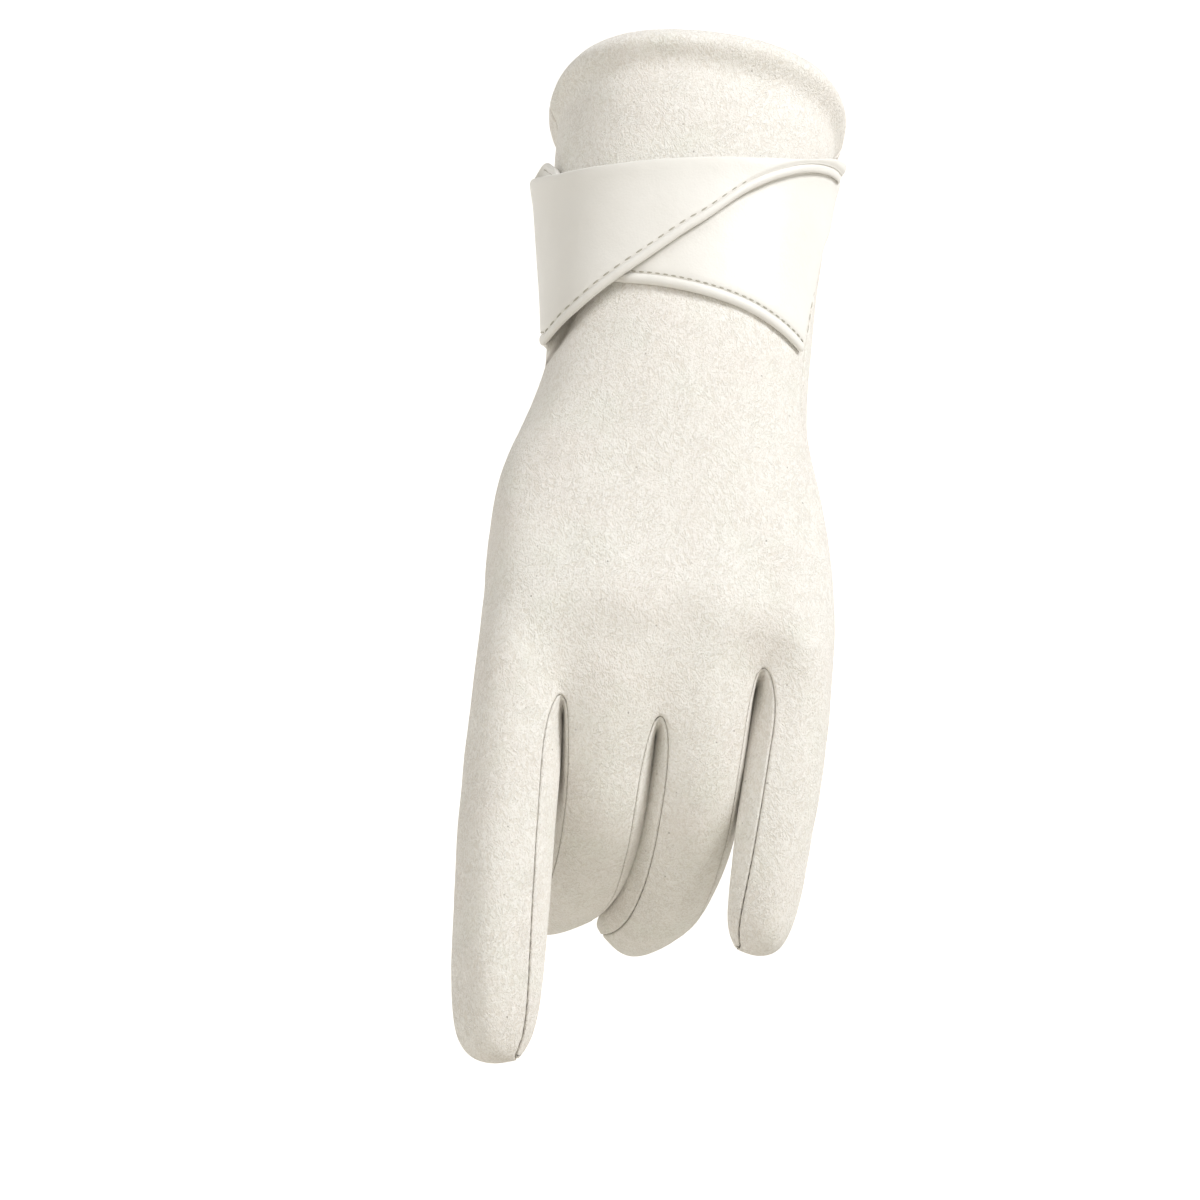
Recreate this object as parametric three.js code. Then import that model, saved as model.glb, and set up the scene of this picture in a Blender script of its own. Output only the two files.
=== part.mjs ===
// Suede dress glove for the left hand, in the form it has when worn: fingers down, back of the hand towards -Y,
// thumb side towards -X. Millimetres, +Z up along the forearm, origin at the centre of the wrist's narrowest part.
import * as THREE from "three";

// Cuff and hand, outside sizes
const cuffLength = 75;
const palmLength = 95.4;
const rimWidth = 72;
const rimDepth = 66;
const wristWidth = 62.6;
const wristDepth = 47;
const palmWidth = 80.5;
const palmDepth = 30;
const cuffEase = 1.15;
const wristSeamTurn = -22;
const rimSeamTurn = 3;
const cuffTwist = -3;
const rimSquare = 2.3;
const knuckleRise = 1.4;

// Suede
const wall = 1.8;
const hemHeight = 7.5;
const hemWall = 3.4;
const hemBulge = 1.4;
const seamGap = 0.36;
const fingerGap = 0.4;

// Fingers and thumb, lengths from web to tip
const fingerLength = 88;
const thumbLength = 66;
const thumbWidth = 22;

// Leather bands over the back of the cuff
const bandTop = 0.747 * cuffLength;
const bandHeight = 0.813 * cuffLength;
const leather = 1.2;
const bandClearance = 0.3;
const bindingWidth = 2.4;
const bindingThickness = 2;
const pleatDepth = 0.5;
const pleats = 3;

// The four fingers, thumb side first. width is a share of palmWidth, depth of the finger's own width and length of
// fingerLength; web is how far down the web on the little-finger side lies, as a share of palmLength. Angles are in
// degrees: roll about the finger, lean sideways at the root and the tip, curl towards the palm at the three joints.
// seamShare is where the seams lie in a finger's section, in shares of its half width and half depth.
const fingers = [
  { name: "index", width: 0.256, depth: 0.86, length: 0.95, web: 0.893, roll: -8, lean: [1, 3], curl: [3, 4, 3] },
  { name: "middle", width: 0.251, depth: 0.86, length: 0.96, web: 0.93, roll: -2, lean: [0, -27.5], curl: [30, 53, 24] },
  { name: "ring", width: 0.256, depth: 0.86, length: 0.92, web: 0.774, roll: 5, lean: [-1, -19], curl: [21, 44, 30] },
  { name: "little", width: 0.216, depth: 0.88, length: 0.72, web: 0.77, roll: 20, lean: [-3, -5], curl: [6, 8, 6] },
];
const seamShare = { across: 0.75, deep: 0.77 };
const thumb = { width: thumbWidth, depth: 0.9, length: thumbLength, roll: 0, lean: [-6, 14], curl: [58, -42, -8] };

// Shares of a finger's length between which it takes its lean.
const leanShare = { from: 0.15, to: 0.85 };

// Rings along a finger: how far along it, its girth, how much thicker it is at its root, and how far the seams lie
// across and deep in the section.
const fingerRings = [
  { along: 0.12, girth: 0.965, thick: 1.25, across: 1, deep: 1 },
  { along: 0.29, girth: 0.965, thick: 1.1, across: 1, deep: 0.97 },
  { along: 0.48, girth: 0.975, thick: 1.01, across: 1, deep: 0.9 },
  { along: 0.68, girth: 0.98, thick: 1, across: 1.02, deep: 0.78 },
  { along: 0.85, girth: 0.94, thick: 1, across: 1.06, deep: 0.6 },
  { along: 0.965, girth: 0.68, thick: 1, across: 1.18, deep: 0.42 },
];

const thumbRings = [
  { along: 0.16, girth: 1.1, thick: 1, across: 1, deep: 1 },
  { along: 0.38, girth: 1.03, thick: 1, across: 1, deep: 1 },
  { along: 0.6, girth: 1, thick: 1, across: 1, deep: 1 },
  { along: 0.81, girth: 0.93, thick: 1, across: 1, deep: 1 },
  { along: 0.95, girth: 0.64, thick: 1, across: 1, deep: 1 },
];

// Where the joints of a finger lie along it, and how long each bend is, as shares of its length.
const joints = [
  { at: 0, bend: 0.01 },
  { at: 0.36, bend: 0.26 },
  { at: 0.68, bend: 0.2 },
];

// Rings of the hem, in shares of hemHeight below the rim and of hemBulge.
const hemRings = [
  { below: 0, bulge: 0.2 },
  { below: 0.45, bulge: 1.7 },
  { below: 1, bulge: -0.2 },
  { below: 1.5, bulge: 0 },
];

// Rings of the cuff between hem and wrist, in shares of cuffLength above the wrist.
const cuffRings = [0.64, 0.4, 0.17, -0.07];

// Rings of the hand, in shares of palmLength below the wrist. swell and thin run from the wrist's width and depth to
// the palm's; square is the power of the section; fan moves the columns to where the fingers are; knuckle is a share
// of knuckleRise; shift and lift move the section sideways and towards the back, in shares of palmWidth and palmDepth.
const palmRings = [
  { down: 0.18, swell: 0.18, thin: 0.18, square: 2.1, fan: 0, knuckle: 0, shift: -0.014, lift: 0 },
  { down: 0.335, swell: 0.72, thin: 0.55, square: 2.2, fan: 0.25, knuckle: 0, shift: -0.024, lift: 0.02 },
  { down: 0.49, swell: 0.95, thin: 0.8, square: 2.35, fan: 0.6, knuckle: 0.1, shift: -0.012, lift: 0.04 },
  { down: 0.63, swell: 0.985, thin: 0.94, square: 2.5, fan: 0.85, knuckle: 0.6, shift: 0.001, lift: 0.06 },
  { down: 0.75, swell: 1, thin: 1, square: 2.6, fan: 1, knuckle: 1, shift: 0.005, lift: 0.02 },
];

// The ring where the fingers begin, in shares of palmLength and palmDepth: how much lower a web lies on the palm than
// on the back, how far it lies behind and before the middle, how far finger roots do, and how much higher the ring
// lies on the thumb side.
const webShare = { drop: 0.075, back: 0.33, palm: 0.36, middle: 0.04, root: 0.46, sideUp: 0.06 };

// Where the thumb is set in: the ring of the hand it starts at, how many rows of faces it takes, and its columns.
const thumbHole = { ring: 0, rows: 2, first: 16, last: 18 };

// The bands, from the thumb-side seam to the little-finger seam of the cuff. low and high are the finished edges, in
// shares of bandHeight below bandTop; offHigh and offLow are how far the band stands off the cuff at each edge, in
// shares of the height of one band over the other.
const overBand = [
  { across: 0.01, low: 0.8, high: 0.13, offHigh: 1.3, offLow: 0 },
  { across: 0.07, low: 0.825, high: 0.155, offHigh: 1.8, offLow: 0 },
  { across: 0.14, low: 0.875, high: 0.21, offHigh: 1.5, offLow: 0.2 },
  { across: 0.23, low: 0.925, high: 0.265, offHigh: 1.15, offLow: 0.5 },
  { across: 0.34, low: 0.892, high: 0.3, offHigh: 1, offLow: 0.9 },
  { across: 0.42, low: 0.822, high: 0.31, offHigh: 1, offLow: 1 },
  { across: 0.52, low: 0.694, high: 0.297, offHigh: 1, offLow: 1 },
  { across: 0.6, low: 0.54, high: 0.268, offHigh: 1, offLow: 1 },
  { across: 0.67, low: 0.37, high: 0.235, offHigh: 1, offLow: 1 },
  { across: 0.76, low: 0.225, high: 0.17, offHigh: 1, offLow: 1 },
  { across: 0.86, low: 0.125, high: 0.055, offHigh: 0.88, offLow: 0.88 },
  { across: 0.955, low: 0.065, high: -0.03, offHigh: 0.8, offLow: 0.8 },
];
const underBand = [
  { across: 0.01, low: 0.18, high: 0.05, offHigh: 0.1, offLow: 0.1 },
  { across: 0.06, low: 0.2, high: 0.08, offHigh: 0.5, offLow: 0.4 },
  { across: 0.12, low: 0.27, high: 0.15, offHigh: 0.4, offLow: 0.3 },
  { across: 0.19, low: 0.4, high: 0.24, offHigh: 0.2, offLow: 0.15 },
  { across: 0.28, low: 0.6, high: 0.29, offHigh: 0.1, offLow: 0.1 },
  { across: 0.37, low: 0.73, high: 0.315, offHigh: 0.1, offLow: 0.1 },
  { across: 0.45, low: 0.772, high: 0.32, offHigh: 0.1, offLow: 0.1 },
  { across: 0.55, low: 0.797, high: 0.3, offHigh: 0.1, offLow: 0.1 },
  { across: 0.65, low: 0.82, high: 0.265, offHigh: 0.1, offLow: 0.1 },
  { across: 0.75, low: 0.843, high: 0.2, offHigh: 0.1, offLow: 0.1 },
  { across: 0.85, low: 0.872, high: 0.115, offHigh: 0.1, offLow: 0.1 },
  { across: 0.99, low: 0.905, high: 0.01, offHigh: 0.1, offLow: 0.1 },
];
const crossingHeight = bandClearance + bindingThickness;
const gatherStart = 0.72;

// How finely things are cut
const columns = 20;
const digitSteps = 100;
const bandSteps = 20;
const bandRows = 8;
const bindingSides = 6;
const slopeStep = 0.01;

// Where neighbouring faces turn sharply, the wall's mitre is held to this cosine.
const leastMitre = 0.8;

const suedeColour = 0xe6e0d3;
const leatherColour = 0xece8dd;

const radians = THREE.MathUtils.degToRad;
const vec = (x, y, z) => new THREE.Vector3(x, y, z);
const lerp = THREE.MathUtils.lerp;
const upwards = vec(0, 0, 1);

// Section of the cuff at a height: half sizes, the power of its outline, how far it is turned round the forearm, and
// how far the side seams are turned on it, in degrees.
function cuffSection(z) {
  const flare = Math.pow(Math.max(z, 0) / cuffLength, cuffEase);
  return {
    halfWidth: lerp(wristWidth, rimWidth, flare) / 2,
    halfDepth: lerp(wristDepth, rimDepth, flare) / 2,
    square: lerp(2, rimSquare, flare),
    twist: cuffTwist * flare,
    seamTurn: lerp(wristSeamTurn, rimSeamTurn, flare),
  };
}

// A point on a rounded section. turn is in degrees from the middle of the back towards the little finger.
function sectionPoint(turn, halfWidth, halfDepth, square) {
  const s = Math.sin(radians(turn));
  const c = Math.cos(radians(turn));
  return {
    x: Math.sign(s) * halfWidth * Math.pow(Math.abs(s), 2 / square),
    y: -Math.sign(c) * halfDepth * Math.pow(Math.abs(c), 2 / square),
  };
}

// The cage: control points and four-sided faces of a Catmull-Clark surface, each face belonging to one piece.
const cage = { points: [], faces: [] };
const columnAngle = 360 / columns;
const ringGrowth = 6 / (4 + 2 * Math.cos(radians(columnAngle)));

function addPoint(point) {
  cage.points.push(point);
  return cage.points.length - 1;
}

function addFace(piece, ...corners) {
  cage.faces.push({ piece, corners });
}

// Joins two rings of control points with faces; pieces names the piece of each segment.
function addTube(upper, lower, pieces) {
  upper.forEach((corner, i) => {
    const next = (i + 1) % upper.length;
    if (pieces[i]) addFace(pieces[i], corner, lower[i], lower[next], upper[next]);
  });
}

// Angle of a column: 0 to 8 run over the back from the thumb side, 9 is the little-finger seam, 10 to 18 run back
// over the palm, and 19 is the thumb-side seam.
const columnTurn = (column, turn) => (column - 4) * columnAngle + turn;

// Places of the fingers across the knuckles, worked out from their widths.
function layFingers() {
  const shares = fingers.reduce((sum, finger) => sum + finger.width, 0);
  const room = palmWidth - (fingers.length - 1) * fingerGap;
  let left = -palmWidth / 2;
  return fingers.map((finger) => {
    const width = (room * finger.width) / shares;
    const place = { ...finger, width, centre: left + width / 2, length: fingerLength * finger.length };
    left += width + fingerGap;
    return place;
  });
}
const laidFingers = layFingers();
const handShift = palmWidth * palmRings.at(-1).shift;

// Distance of a column from the middle of the hand where the fingers begin: finger middles, webs and outer edges.
function fingerColumn(column) {
  const back = column <= 8 ? column : 18 - column;
  if (back === 0) return laidFingers[0].centre - (seamShare.across * laidFingers[0].width) / 2;
  if (back === 8) return laidFingers[3].centre + (seamShare.across * laidFingers[3].width) / 2;
  const finger = laidFingers[Math.floor((back - 1) / 2)];
  return back % 2 === 1 ? finger.centre : finger.centre + (finger.width + fingerGap) / 2;
}

function cuffPoint(column, z, grow) {
  const { halfWidth, halfDepth, square, twist, seamTurn } = cuffSection(z);
  const { x, y } = sectionPoint(columnTurn(column, seamTurn), grow(halfWidth), grow(halfDepth), square);
  return vec(x, y, z).applyAxisAngle(upwards, -radians(twist));
}

function cuffRing(z, bulge) {
  const grow = (half) => (half + bulge) * ringGrowth;
  return Array.from({ length: columns }, (_, column) => addPoint(cuffPoint(column, z, grow)));
}

function palmRing(row) {
  const halfWidth = (lerp(wristWidth, palmWidth, row.swell) / 2) * ringGrowth;
  const halfDepth = (lerp(wristDepth, palmDepth, row.thin) / 2) * ringGrowth;
  const shift = row.shift * palmWidth;
  const lift = row.lift * palmDepth;
  return Array.from({ length: columns }, (_, column) => {
    const turn = columnTurn(column, wristSeamTurn * (1 - row.fan));
    const round = sectionPoint(turn, halfWidth, halfDepth, row.square);
    const side = column === 9 || column === 19;
    const x = side ? round.x : lerp(round.x, fingerColumn(column), row.fan);
    const rise = 1 - Math.pow(Math.min(Math.abs(x) / halfWidth, 1), row.square);
    const isBack = column < 9;
    const y = side ? round.y : (isBack ? -1 : 1) * halfDepth * Math.pow(rise, 1 / row.square);
    const bump = isBack ? row.knuckle * knuckleRise * (column % 2 === 1 ? 1 : -0.5) : 0;
    return addPoint(vec(x + shift, y - lift - bump, -row.down * palmLength));
  });
}

function webLevel(column) {
  const back = column <= 8 ? column : 18 - column;
  if (back <= 0) return fingers[0].web - webShare.sideUp;
  if (back >= 8) return fingers[3].web;
  const web = (i) => (i < 0 ? fingers[0].web - webShare.sideUp : fingers[i].web);
  return back % 2 === 0 ? web(back / 2 - 1) : (web((back - 3) / 2) + web((back - 1) / 2)) / 2;
}

function webRing() {
  const palmDrop = (column) => (column > 9 && column < 19 ? webShare.drop : 0);
  const level = (column) => -(webLevel(column) + palmDrop(column)) * palmLength;
  const ring = Array.from({ length: columns }, (_, column) => {
    if (column === 9) return addPoint(vec(palmWidth / 2 * ringGrowth + handShift, 0, level(8)));
    if (column === 19) return addPoint(vec(-palmWidth / 2 * ringGrowth + handShift, 0, level(0)));
    const isBack = column < 9;
    const isWeb = column % 2 === 0 && column !== 0 && column !== 8 && column !== 10 && column !== 18;
    const deep = isWeb ? (isBack ? webShare.back : webShare.palm) : webShare.root;
    const edge = column === 0 || column === 8 || column === 10 || column === 18 ? seamShare.deep : 1;
    const y = (isBack ? -1 : 1) * deep * edge * palmDepth;
    return addPoint(vec(fingerColumn(column) + handShift, y, level(column)));
  });
  const middles = [2, 4, 6].map((column) => {
    const drop = webLevel(column) + webShare.drop / 2;
    return addPoint(vec(fingerColumn(column) + handShift, webShare.middle * palmDepth, -drop * palmLength));
  });
  return { ring, middles };
}

// Direction of a finger at a share of its length, and the two axes of its section there.
function digitFrame(digit, along, across) {
  const curl = digit.curl.reduce((sum, angle, i) => {
    const start = joints[i].at - joints[i].bend / 2;
    return sum + angle * THREE.MathUtils.smoothstep(along, start, start + joints[i].bend);
  }, 0);
  const leaning = THREE.MathUtils.smoothstep(along, leanShare.from, leanShare.to);
  const lean = radians(lerp(digit.lean[0], digit.lean[1], leaning));
  const bend = radians(curl);
  const forward = vec(Math.sin(lean), Math.sin(bend) * Math.cos(lean), -Math.cos(bend) * Math.cos(lean));
  const back = forward.clone().cross(across).normalize();
  const side = back.clone().cross(forward).normalize();
  const roll = radians(digit.roll);
  return {
    forward,
    back: back.clone().multiplyScalar(Math.cos(roll)).addScaledVector(side, Math.sin(roll)),
    side: side.clone().multiplyScalar(Math.cos(roll)).addScaledVector(back, -Math.sin(roll)),
  };
}

// Rings of eight control points down a finger, from its root, and the point that closes its tip.
function digitCage(digit, root, across, rings) {
  const centre = root.clone();
  const result = { rings: [], tip: null };
  let travelled = 0;
  const goTo = (along) => {
    while (travelled < along - 1e-9) {
      const step = Math.min(1 / digitSteps, along - travelled);
      const { forward } = digitFrame(digit, travelled + step / 2, across);
      centre.addScaledVector(forward, step * digit.length);
      travelled += step;
    }
  };
  for (const row of rings) {
    goTo(row.along);
    const frame = digitFrame(digit, row.along, across);
    const halfWidth = (digit.width / 2) * row.girth;
    const halfDepth = (digit.width / 2) * digit.depth * row.girth * row.thick;
    const edge = seamShare.across * row.across;
    const deep = seamShare.deep * row.deep;
    // With a middle point at 1.5 - x / 2 beside two corners at x, the limit surface keeps the finger's full half size.
    const section = [
      [-edge, deep],
      [0, 1.5 - deep / 2],
      [edge, deep],
      [1.5 - edge / 2, 0],
      [edge, -deep],
      [0, deep / 2 - 1.5],
      [-edge, -deep],
      [edge / 2 - 1.5, 0],
    ];
    result.rings.push(
      section.map(([sideways, backward]) =>
        addPoint(
          centre
            .clone()
            .addScaledVector(frame.side, sideways * halfWidth)
            .addScaledVector(frame.back, backward * halfDepth),
        ),
      ),
    );
  }
  goTo(1);
  result.tip = addPoint(centre.clone());
  return result;
}

// Closes a finger's last ring with four faces round its tip point.
function addTip(ring, tip, backPiece, palmPiece) {
  addFace(backPiece, ring[0], ring[7], tip, ring[1]);
  addFace(backPiece, ring[1], tip, ring[3], ring[2]);
  addFace(palmPiece, ring[3], tip, ring[5], ring[4]);
  addFace(palmPiece, ring[5], tip, ring[7], ring[6]);
}

const fourchettes = ["fourchette_index_middle", "fourchette_middle_ring", "fourchette_ring_little"];
const bodyPieces = Array.from({ length: columns }, (_, i) => (i < 9 || i === 19 ? "back_panel" : "palm_panel"));

function meanOf(corners) {
  return corners.reduce((sum, corner) => sum.add(cage.points[corner]), vec(0, 0, 0)).divideScalar(corners.length);
}

function addBody() {
  const upper = hemRings.map((row) => cuffRing(cuffLength - row.below * hemHeight, row.bulge * hemBulge));
  const middle = cuffRings.map((share) => cuffRing(share * cuffLength, 0));
  const lower = palmRings.map(palmRing);
  const web = webRing();
  const rings = [...upper, ...middle, ...lower, web.ring];
  const firstPalm = upper.length + middle.length + thumbHole.ring;
  for (let i = 0; i + 1 < rings.length; i++) {
    const open = i >= firstPalm && i < firstPalm + thumbHole.rows;
    const pieces = bodyPieces.map((piece, column) =>
      open && column >= thumbHole.first && column < thumbHole.last ? null : piece,
    );
    addTube(rings[i], rings[i + 1], pieces);
  }
  return { web, hole: rings.slice(firstPalm, firstPalm + thumbHole.rows + 1) };
}

function addFinger(place, index, web) {
  const first = index * 2;
  const { ring, middles } = web;
  const isFirst = index === 0;
  const isLast = index === fingers.length - 1;
  const loop = [
    ring[first],
    ring[first + 1],
    ring[first + 2],
    isLast ? ring[9] : middles[index],
    ring[16 - first],
    ring[17 - first],
    ring[18 - first],
    isFirst ? ring[19] : middles[index - 1],
  ];
  const right = isLast ? ["back_panel", "palm_panel"] : [fourchettes[index], fourchettes[index]];
  const left = isFirst ? ["palm_panel", "back_panel"] : [fourchettes[index - 1], fourchettes[index - 1]];
  const pieces = ["back_panel", "back_panel", ...right, "palm_panel", "palm_panel", ...left];
  const root = meanOf(loop);
  root.x = place.centre + handShift;
  const { rings, tip } = digitCage(place, root, vec(1, 0, 0), fingerRings);
  [loop, ...rings].forEach((upper, i, all) => {
    if (i + 1 < all.length) addTube(upper, all[i + 1], pieces);
  });
  addTip(rings.at(-1), tip, "back_panel", "palm_panel");
}

function addThumb(hole) {
  const { first, last } = thumbHole;
  const [top, mid, bottom] = hole;
  const centre = first + 1;
  const upper = [top[first], top[centre], top[last], mid[last]];
  const loop = [...upper, bottom[last], bottom[centre], bottom[first], mid[first]];
  const { rings, tip } = digitCage(thumb, meanOf(loop), vec(-1, 0, 0), thumbRings);
  const pieces = loop.map(() => "thumb");
  [loop, ...rings].forEach((ring, i, all) => {
    if (i + 1 < all.length) addTube(ring, all[i + 1], pieces);
  });
  addTip(rings.at(-1), tip, "thumb", "thumb");
}

const edgeKey = (a, b) => (a < b ? `${a} ${b}` : `${b} ${a}`);

// Edges of a surface with the faces beside them. An edge is sharp at the rim and along both sides of a fourchette.
function findEdges(faces) {
  const edges = new Map();
  faces.forEach((face, f) => {
    face.corners.forEach((corner, i) => {
      const next = face.corners[(i + 1) % face.corners.length];
      const key = edgeKey(corner, next);
      if (!edges.has(key)) edges.set(key, { ends: [corner, next], faces: [] });
      edges.get(key).faces.push(f);
    });
  });
  for (const edge of edges.values()) {
    const folded = edge.faces.map((f) => fourchettes.includes(faces[f].piece));
    edge.open = edge.faces.length === 1;
    edge.sharp = edge.open || folded[0] !== folded[1];
  }
  return edges;
}

const sum = (vectors) => vectors.reduce((total, v) => total.add(v), vec(0, 0, 0));
const mean = (vectors) => sum(vectors).divideScalar(vectors.length);

// What surrounds each point: its edges' far ends, its sharp edges' far ends and its faces.
function findRings(count, faces, edges) {
  const rings = Array.from({ length: count }, () => ({ ends: [], sharp: [], faces: [] }));
  for (const { ends, sharp } of edges.values()) {
    ends.forEach((end, i) => {
      rings[end].ends.push(ends[1 - i]);
      if (sharp) rings[end].sharp.push(ends[1 - i]);
    });
  }
  faces.forEach((face, f) => face.corners.forEach((corner) => rings[corner].faces.push(f)));
  return rings;
}

// One Catmull-Clark step, with sharp edges kept as creases.
function subdivide({ points, faces }) {
  const edges = findEdges(faces);
  const rings = findRings(points.length, faces, edges);
  const centres = faces.map((face) => mean(face.corners.map((corner) => points[corner])));
  const moved = points.map((point, i) => {
    const { ends, sharp, faces: around } = rings[i];
    if (sharp.length > 2) return point.clone();
    if (sharp.length === 2) {
      return point.clone().multiplyScalar(6).add(points[sharp[0]]).add(points[sharp[1]]).divideScalar(8);
    }
    const n = ends.length;
    return point
      .clone()
      .multiplyScalar(n - 2)
      .add(mean(ends.map((end) => points[end])))
      .add(mean(around.map((f) => centres[f])))
      .divideScalar(n);
  });
  const firstCentre = moved.length;
  moved.push(...centres);
  const middle = new Map();
  for (const [key, edge] of edges) {
    const ends = edge.ends.map((end) => points[end]);
    middle.set(key, moved.length);
    moved.push(mean(edge.sharp ? ends : [...ends, ...edge.faces.map((f) => centres[f])]));
  }
  const finer = faces.flatMap((face, f) =>
    face.corners.map((corner, i) => {
      const next = face.corners[(i + 1) % 4];
      const last = face.corners[(i + 3) % 4];
      return {
        piece: face.piece,
        corners: [corner, middle.get(edgeKey(corner, next)), firstCentre + f, middle.get(edgeKey(last, corner))],
      };
    }),
  );
  return { points: moved, faces: finer };
}

// Moves every point to where endless Catmull-Clark steps would bring it.
function toLimit({ points, faces }) {
  const rings = findRings(points.length, faces, findEdges(faces));
  const limit = points.map((point, i) => {
    const { ends, sharp, faces: around } = rings[i];
    if (sharp.length > 2) return point.clone();
    if (sharp.length === 2) {
      return point.clone().multiplyScalar(4).add(points[sharp[0]]).add(points[sharp[1]]).divideScalar(6);
    }
    const n = ends.length;
    const across = around.map((f) => {
      const { corners } = faces[f];
      return points[corners[(corners.indexOf(i) + 2) % 4]];
    });
    return point
      .clone()
      .multiplyScalar(n * n)
      .addScaledVector(sum(ends.map((end) => points[end])), 4)
      .add(sum(across))
      .divideScalar(n * (n + 5));
  });
  return { points: limit, faces };
}

function faceNormal(points, { corners }) {
  const [a, b, c, d] = corners.map((corner) => points[corner]);
  return c.clone().sub(a).cross(d.clone().sub(b));
}

// Wall of the suede at a height: the hem is turned in, so it is thicker.
function wallAt(z) {
  const hemStart = cuffLength - hemHeight;
  const ease = hemHeight / 4;
  return lerp(wall, hemWall, THREE.MathUtils.smoothstep(z, hemStart - ease, hemStart + ease));
}

// Inner surface of the whole skin, so that neighbouring pieces meet on one wall at their seam.
function innerPoints({ points, faces }) {
  const normals = points.map(() => vec(0, 0, 0));
  const flat = faces.map((face) => faceNormal(points, face));
  faces.forEach((face, f) => face.corners.forEach((corner) => normals[corner].add(flat[f])));
  normals.forEach((normal) => normal.normalize());
  const slant = points.map(() => ({ total: 0, count: 0 }));
  faces.forEach((face, f) => {
    const unit = flat[f].clone().normalize();
    face.corners.forEach((corner) => {
      slant[corner].total += unit.dot(normals[corner]);
      slant[corner].count += 1;
    });
  });
  return points.map((point, i) => {
    const mitre = 1 / Math.max(slant[i].total / slant[i].count, leastMitre);
    return point.clone().addScaledVector(normals[i], -wallAt(point.z) * mitre);
  });
}

function geometryOf(points, triangles) {
  const geometry = new THREE.BufferGeometry();
  geometry.setAttribute("position", new THREE.Float32BufferAttribute(points.flatMap((p) => [p.x, p.y, p.z]), 3));
  geometry.setIndex(triangles.flat());
  geometry.computeVertexNormals();
  return geometry;
}

// A closed wall between an outer and an inner sheet of four-sided faces that share their numbering. order ranks the
// points, so that two pieces that meet at a seam split its wall along the same diagonals.
function closeWall(outer, inner, faces, order) {
  const count = outer.length;
  const triangles = [];
  const edges = new Map();
  for (const [a, b, c, d] of faces) {
    triangles.push([a, b, c], [a, c, d]);
    triangles.push([a + count, c + count, b + count], [a + count, d + count, c + count]);
    [[a, b], [b, c], [c, d], [d, a]].forEach(([from, to]) => {
      if (!edges.delete(`${to} ${from}`)) edges.set(`${from} ${to}`, [from, to]);
    });
  }
  for (const [from, to] of edges.values()) {
    if (order[from] < order[to]) triangles.push([to, from, from + count], [to, from + count, to + count]);
    else triangles.push([to, from, to + count], [from, from + count, to + count]);
  }
  return geometryOf([...outer, ...inner], triangles);
}

// How far each point on the border of some faces is drawn back, square to their seam walls, to leave half of seamGap.
function findPull(outer, inner, faces) {
  const ways = new Map();
  for (const { ends, open } of findEdges(faces).values()) {
    if (!open) continue;
    const [from, to] = ends;
    const inwards = inner[from].clone().add(inner[to]).sub(outer[from]).sub(outer[to]);
    const way = outer[to].clone().sub(outer[from]).cross(inwards).normalize();
    ends.forEach((end) => ways.set(end, (ways.get(end) ?? vec(0, 0, 0)).add(way)));
  }
  return (corner) => {
    const way = ways.get(corner);
    return way ? way.clone().multiplyScalar(seamGap / Math.max(way.lengthSq(), leastMitre)) : vec(0, 0, 0);
  };
}

// One piece of the skin as a solid: its wall, drawn back from its seams.
function skinPiece(skin, inner, piece) {
  const faces = skin.faces.filter((face) => face.piece === piece);
  const used = [...new Set(faces.flatMap((face) => face.corners))];
  const numbers = new Map(used.map((corner, i) => [corner, i]));
  const local = faces.map((face) => face.corners.map((corner) => numbers.get(corner)));
  const pull = findPull(skin.points, inner, faces);
  const sheets = [skin.points, inner].map((sheet) => used.map((corner) => sheet[corner].clone().add(pull(corner))));
  return closeWall(sheets[0], sheets[1], local, used);
}

// A point over the cuff: across from the thumb-side seam to the little-finger seam, at a height, off the suede.
function overCuff(across, z, off) {
  return cuffPoint(lerp(-1, 9, across), z, (half) => half + off);
}

// Reads a column of a band's table at a place across it, along a smooth curve through the rows.
function readColumn(rows, across, column) {
  const i = Math.min(Math.max(rows.findIndex((row) => row.across >= across), 1), rows.length - 1);
  const [before, after] = [rows[i - 1], rows[i]];
  const slope = (k) => {
    const last = rows[Math.max(k - 1, 0)];
    const next = rows[Math.min(k + 1, rows.length - 1)];
    return (next[column] - last[column]) / (next.across - last.across);
  };
  const span = after.across - before.across;
  const t = (across - before.across) / span;
  const rise = t * t * (3 - 2 * t);
  const leaving = t * (1 - t) * (1 - t) * span * slope(i - 1);
  const arriving = t * t * (t - 1) * span * slope(i);
  return lerp(before[column], after[column], rise) + leaving + arriving;
}

// A band at a place across it: its finished edges, and how much its slanting lower edge stretches a height.
function readBand(band, across) {
  const { rows } = band;
  const from = Math.max(across - slopeStep, rows[0].across);
  const to = Math.min(across + slopeStep, rows.at(-1).across);
  const heightOf = (place, column) => bandTop - readColumn(rows, place, column) * bandHeight;
  const start = overCuff(from, heightOf(from, "low"), 0);
  const end = overCuff(to, heightOf(to, "low"), 0);
  return {
    low: heightOf(across, "low"),
    high: heightOf(across, "high"),
    slant: start.distanceTo(end) / Math.hypot(end.x - start.x, end.y - start.y),
    offHigh: readColumn(rows, across, "offHigh"),
    offLow: readColumn(rows, across, "offLow"),
  };
}

// How far a band stands off at a place, with pleats towards its gathered end.
function bandOff(band, row, across, up) {
  const flat = bandClearance + lerp(row.offLow, row.offHigh, up) * crossingHeight;
  const towardsEnd = band.gatheredAtStart ? 1 - across : across;
  const gather = THREE.MathUtils.smoothstep(towardsEnd, gatherStart, 1);
  const ridge = Math.sin(Math.PI * pleats * up);
  return flat + gather * pleatDepth * ridge * ridge;
}

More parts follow.
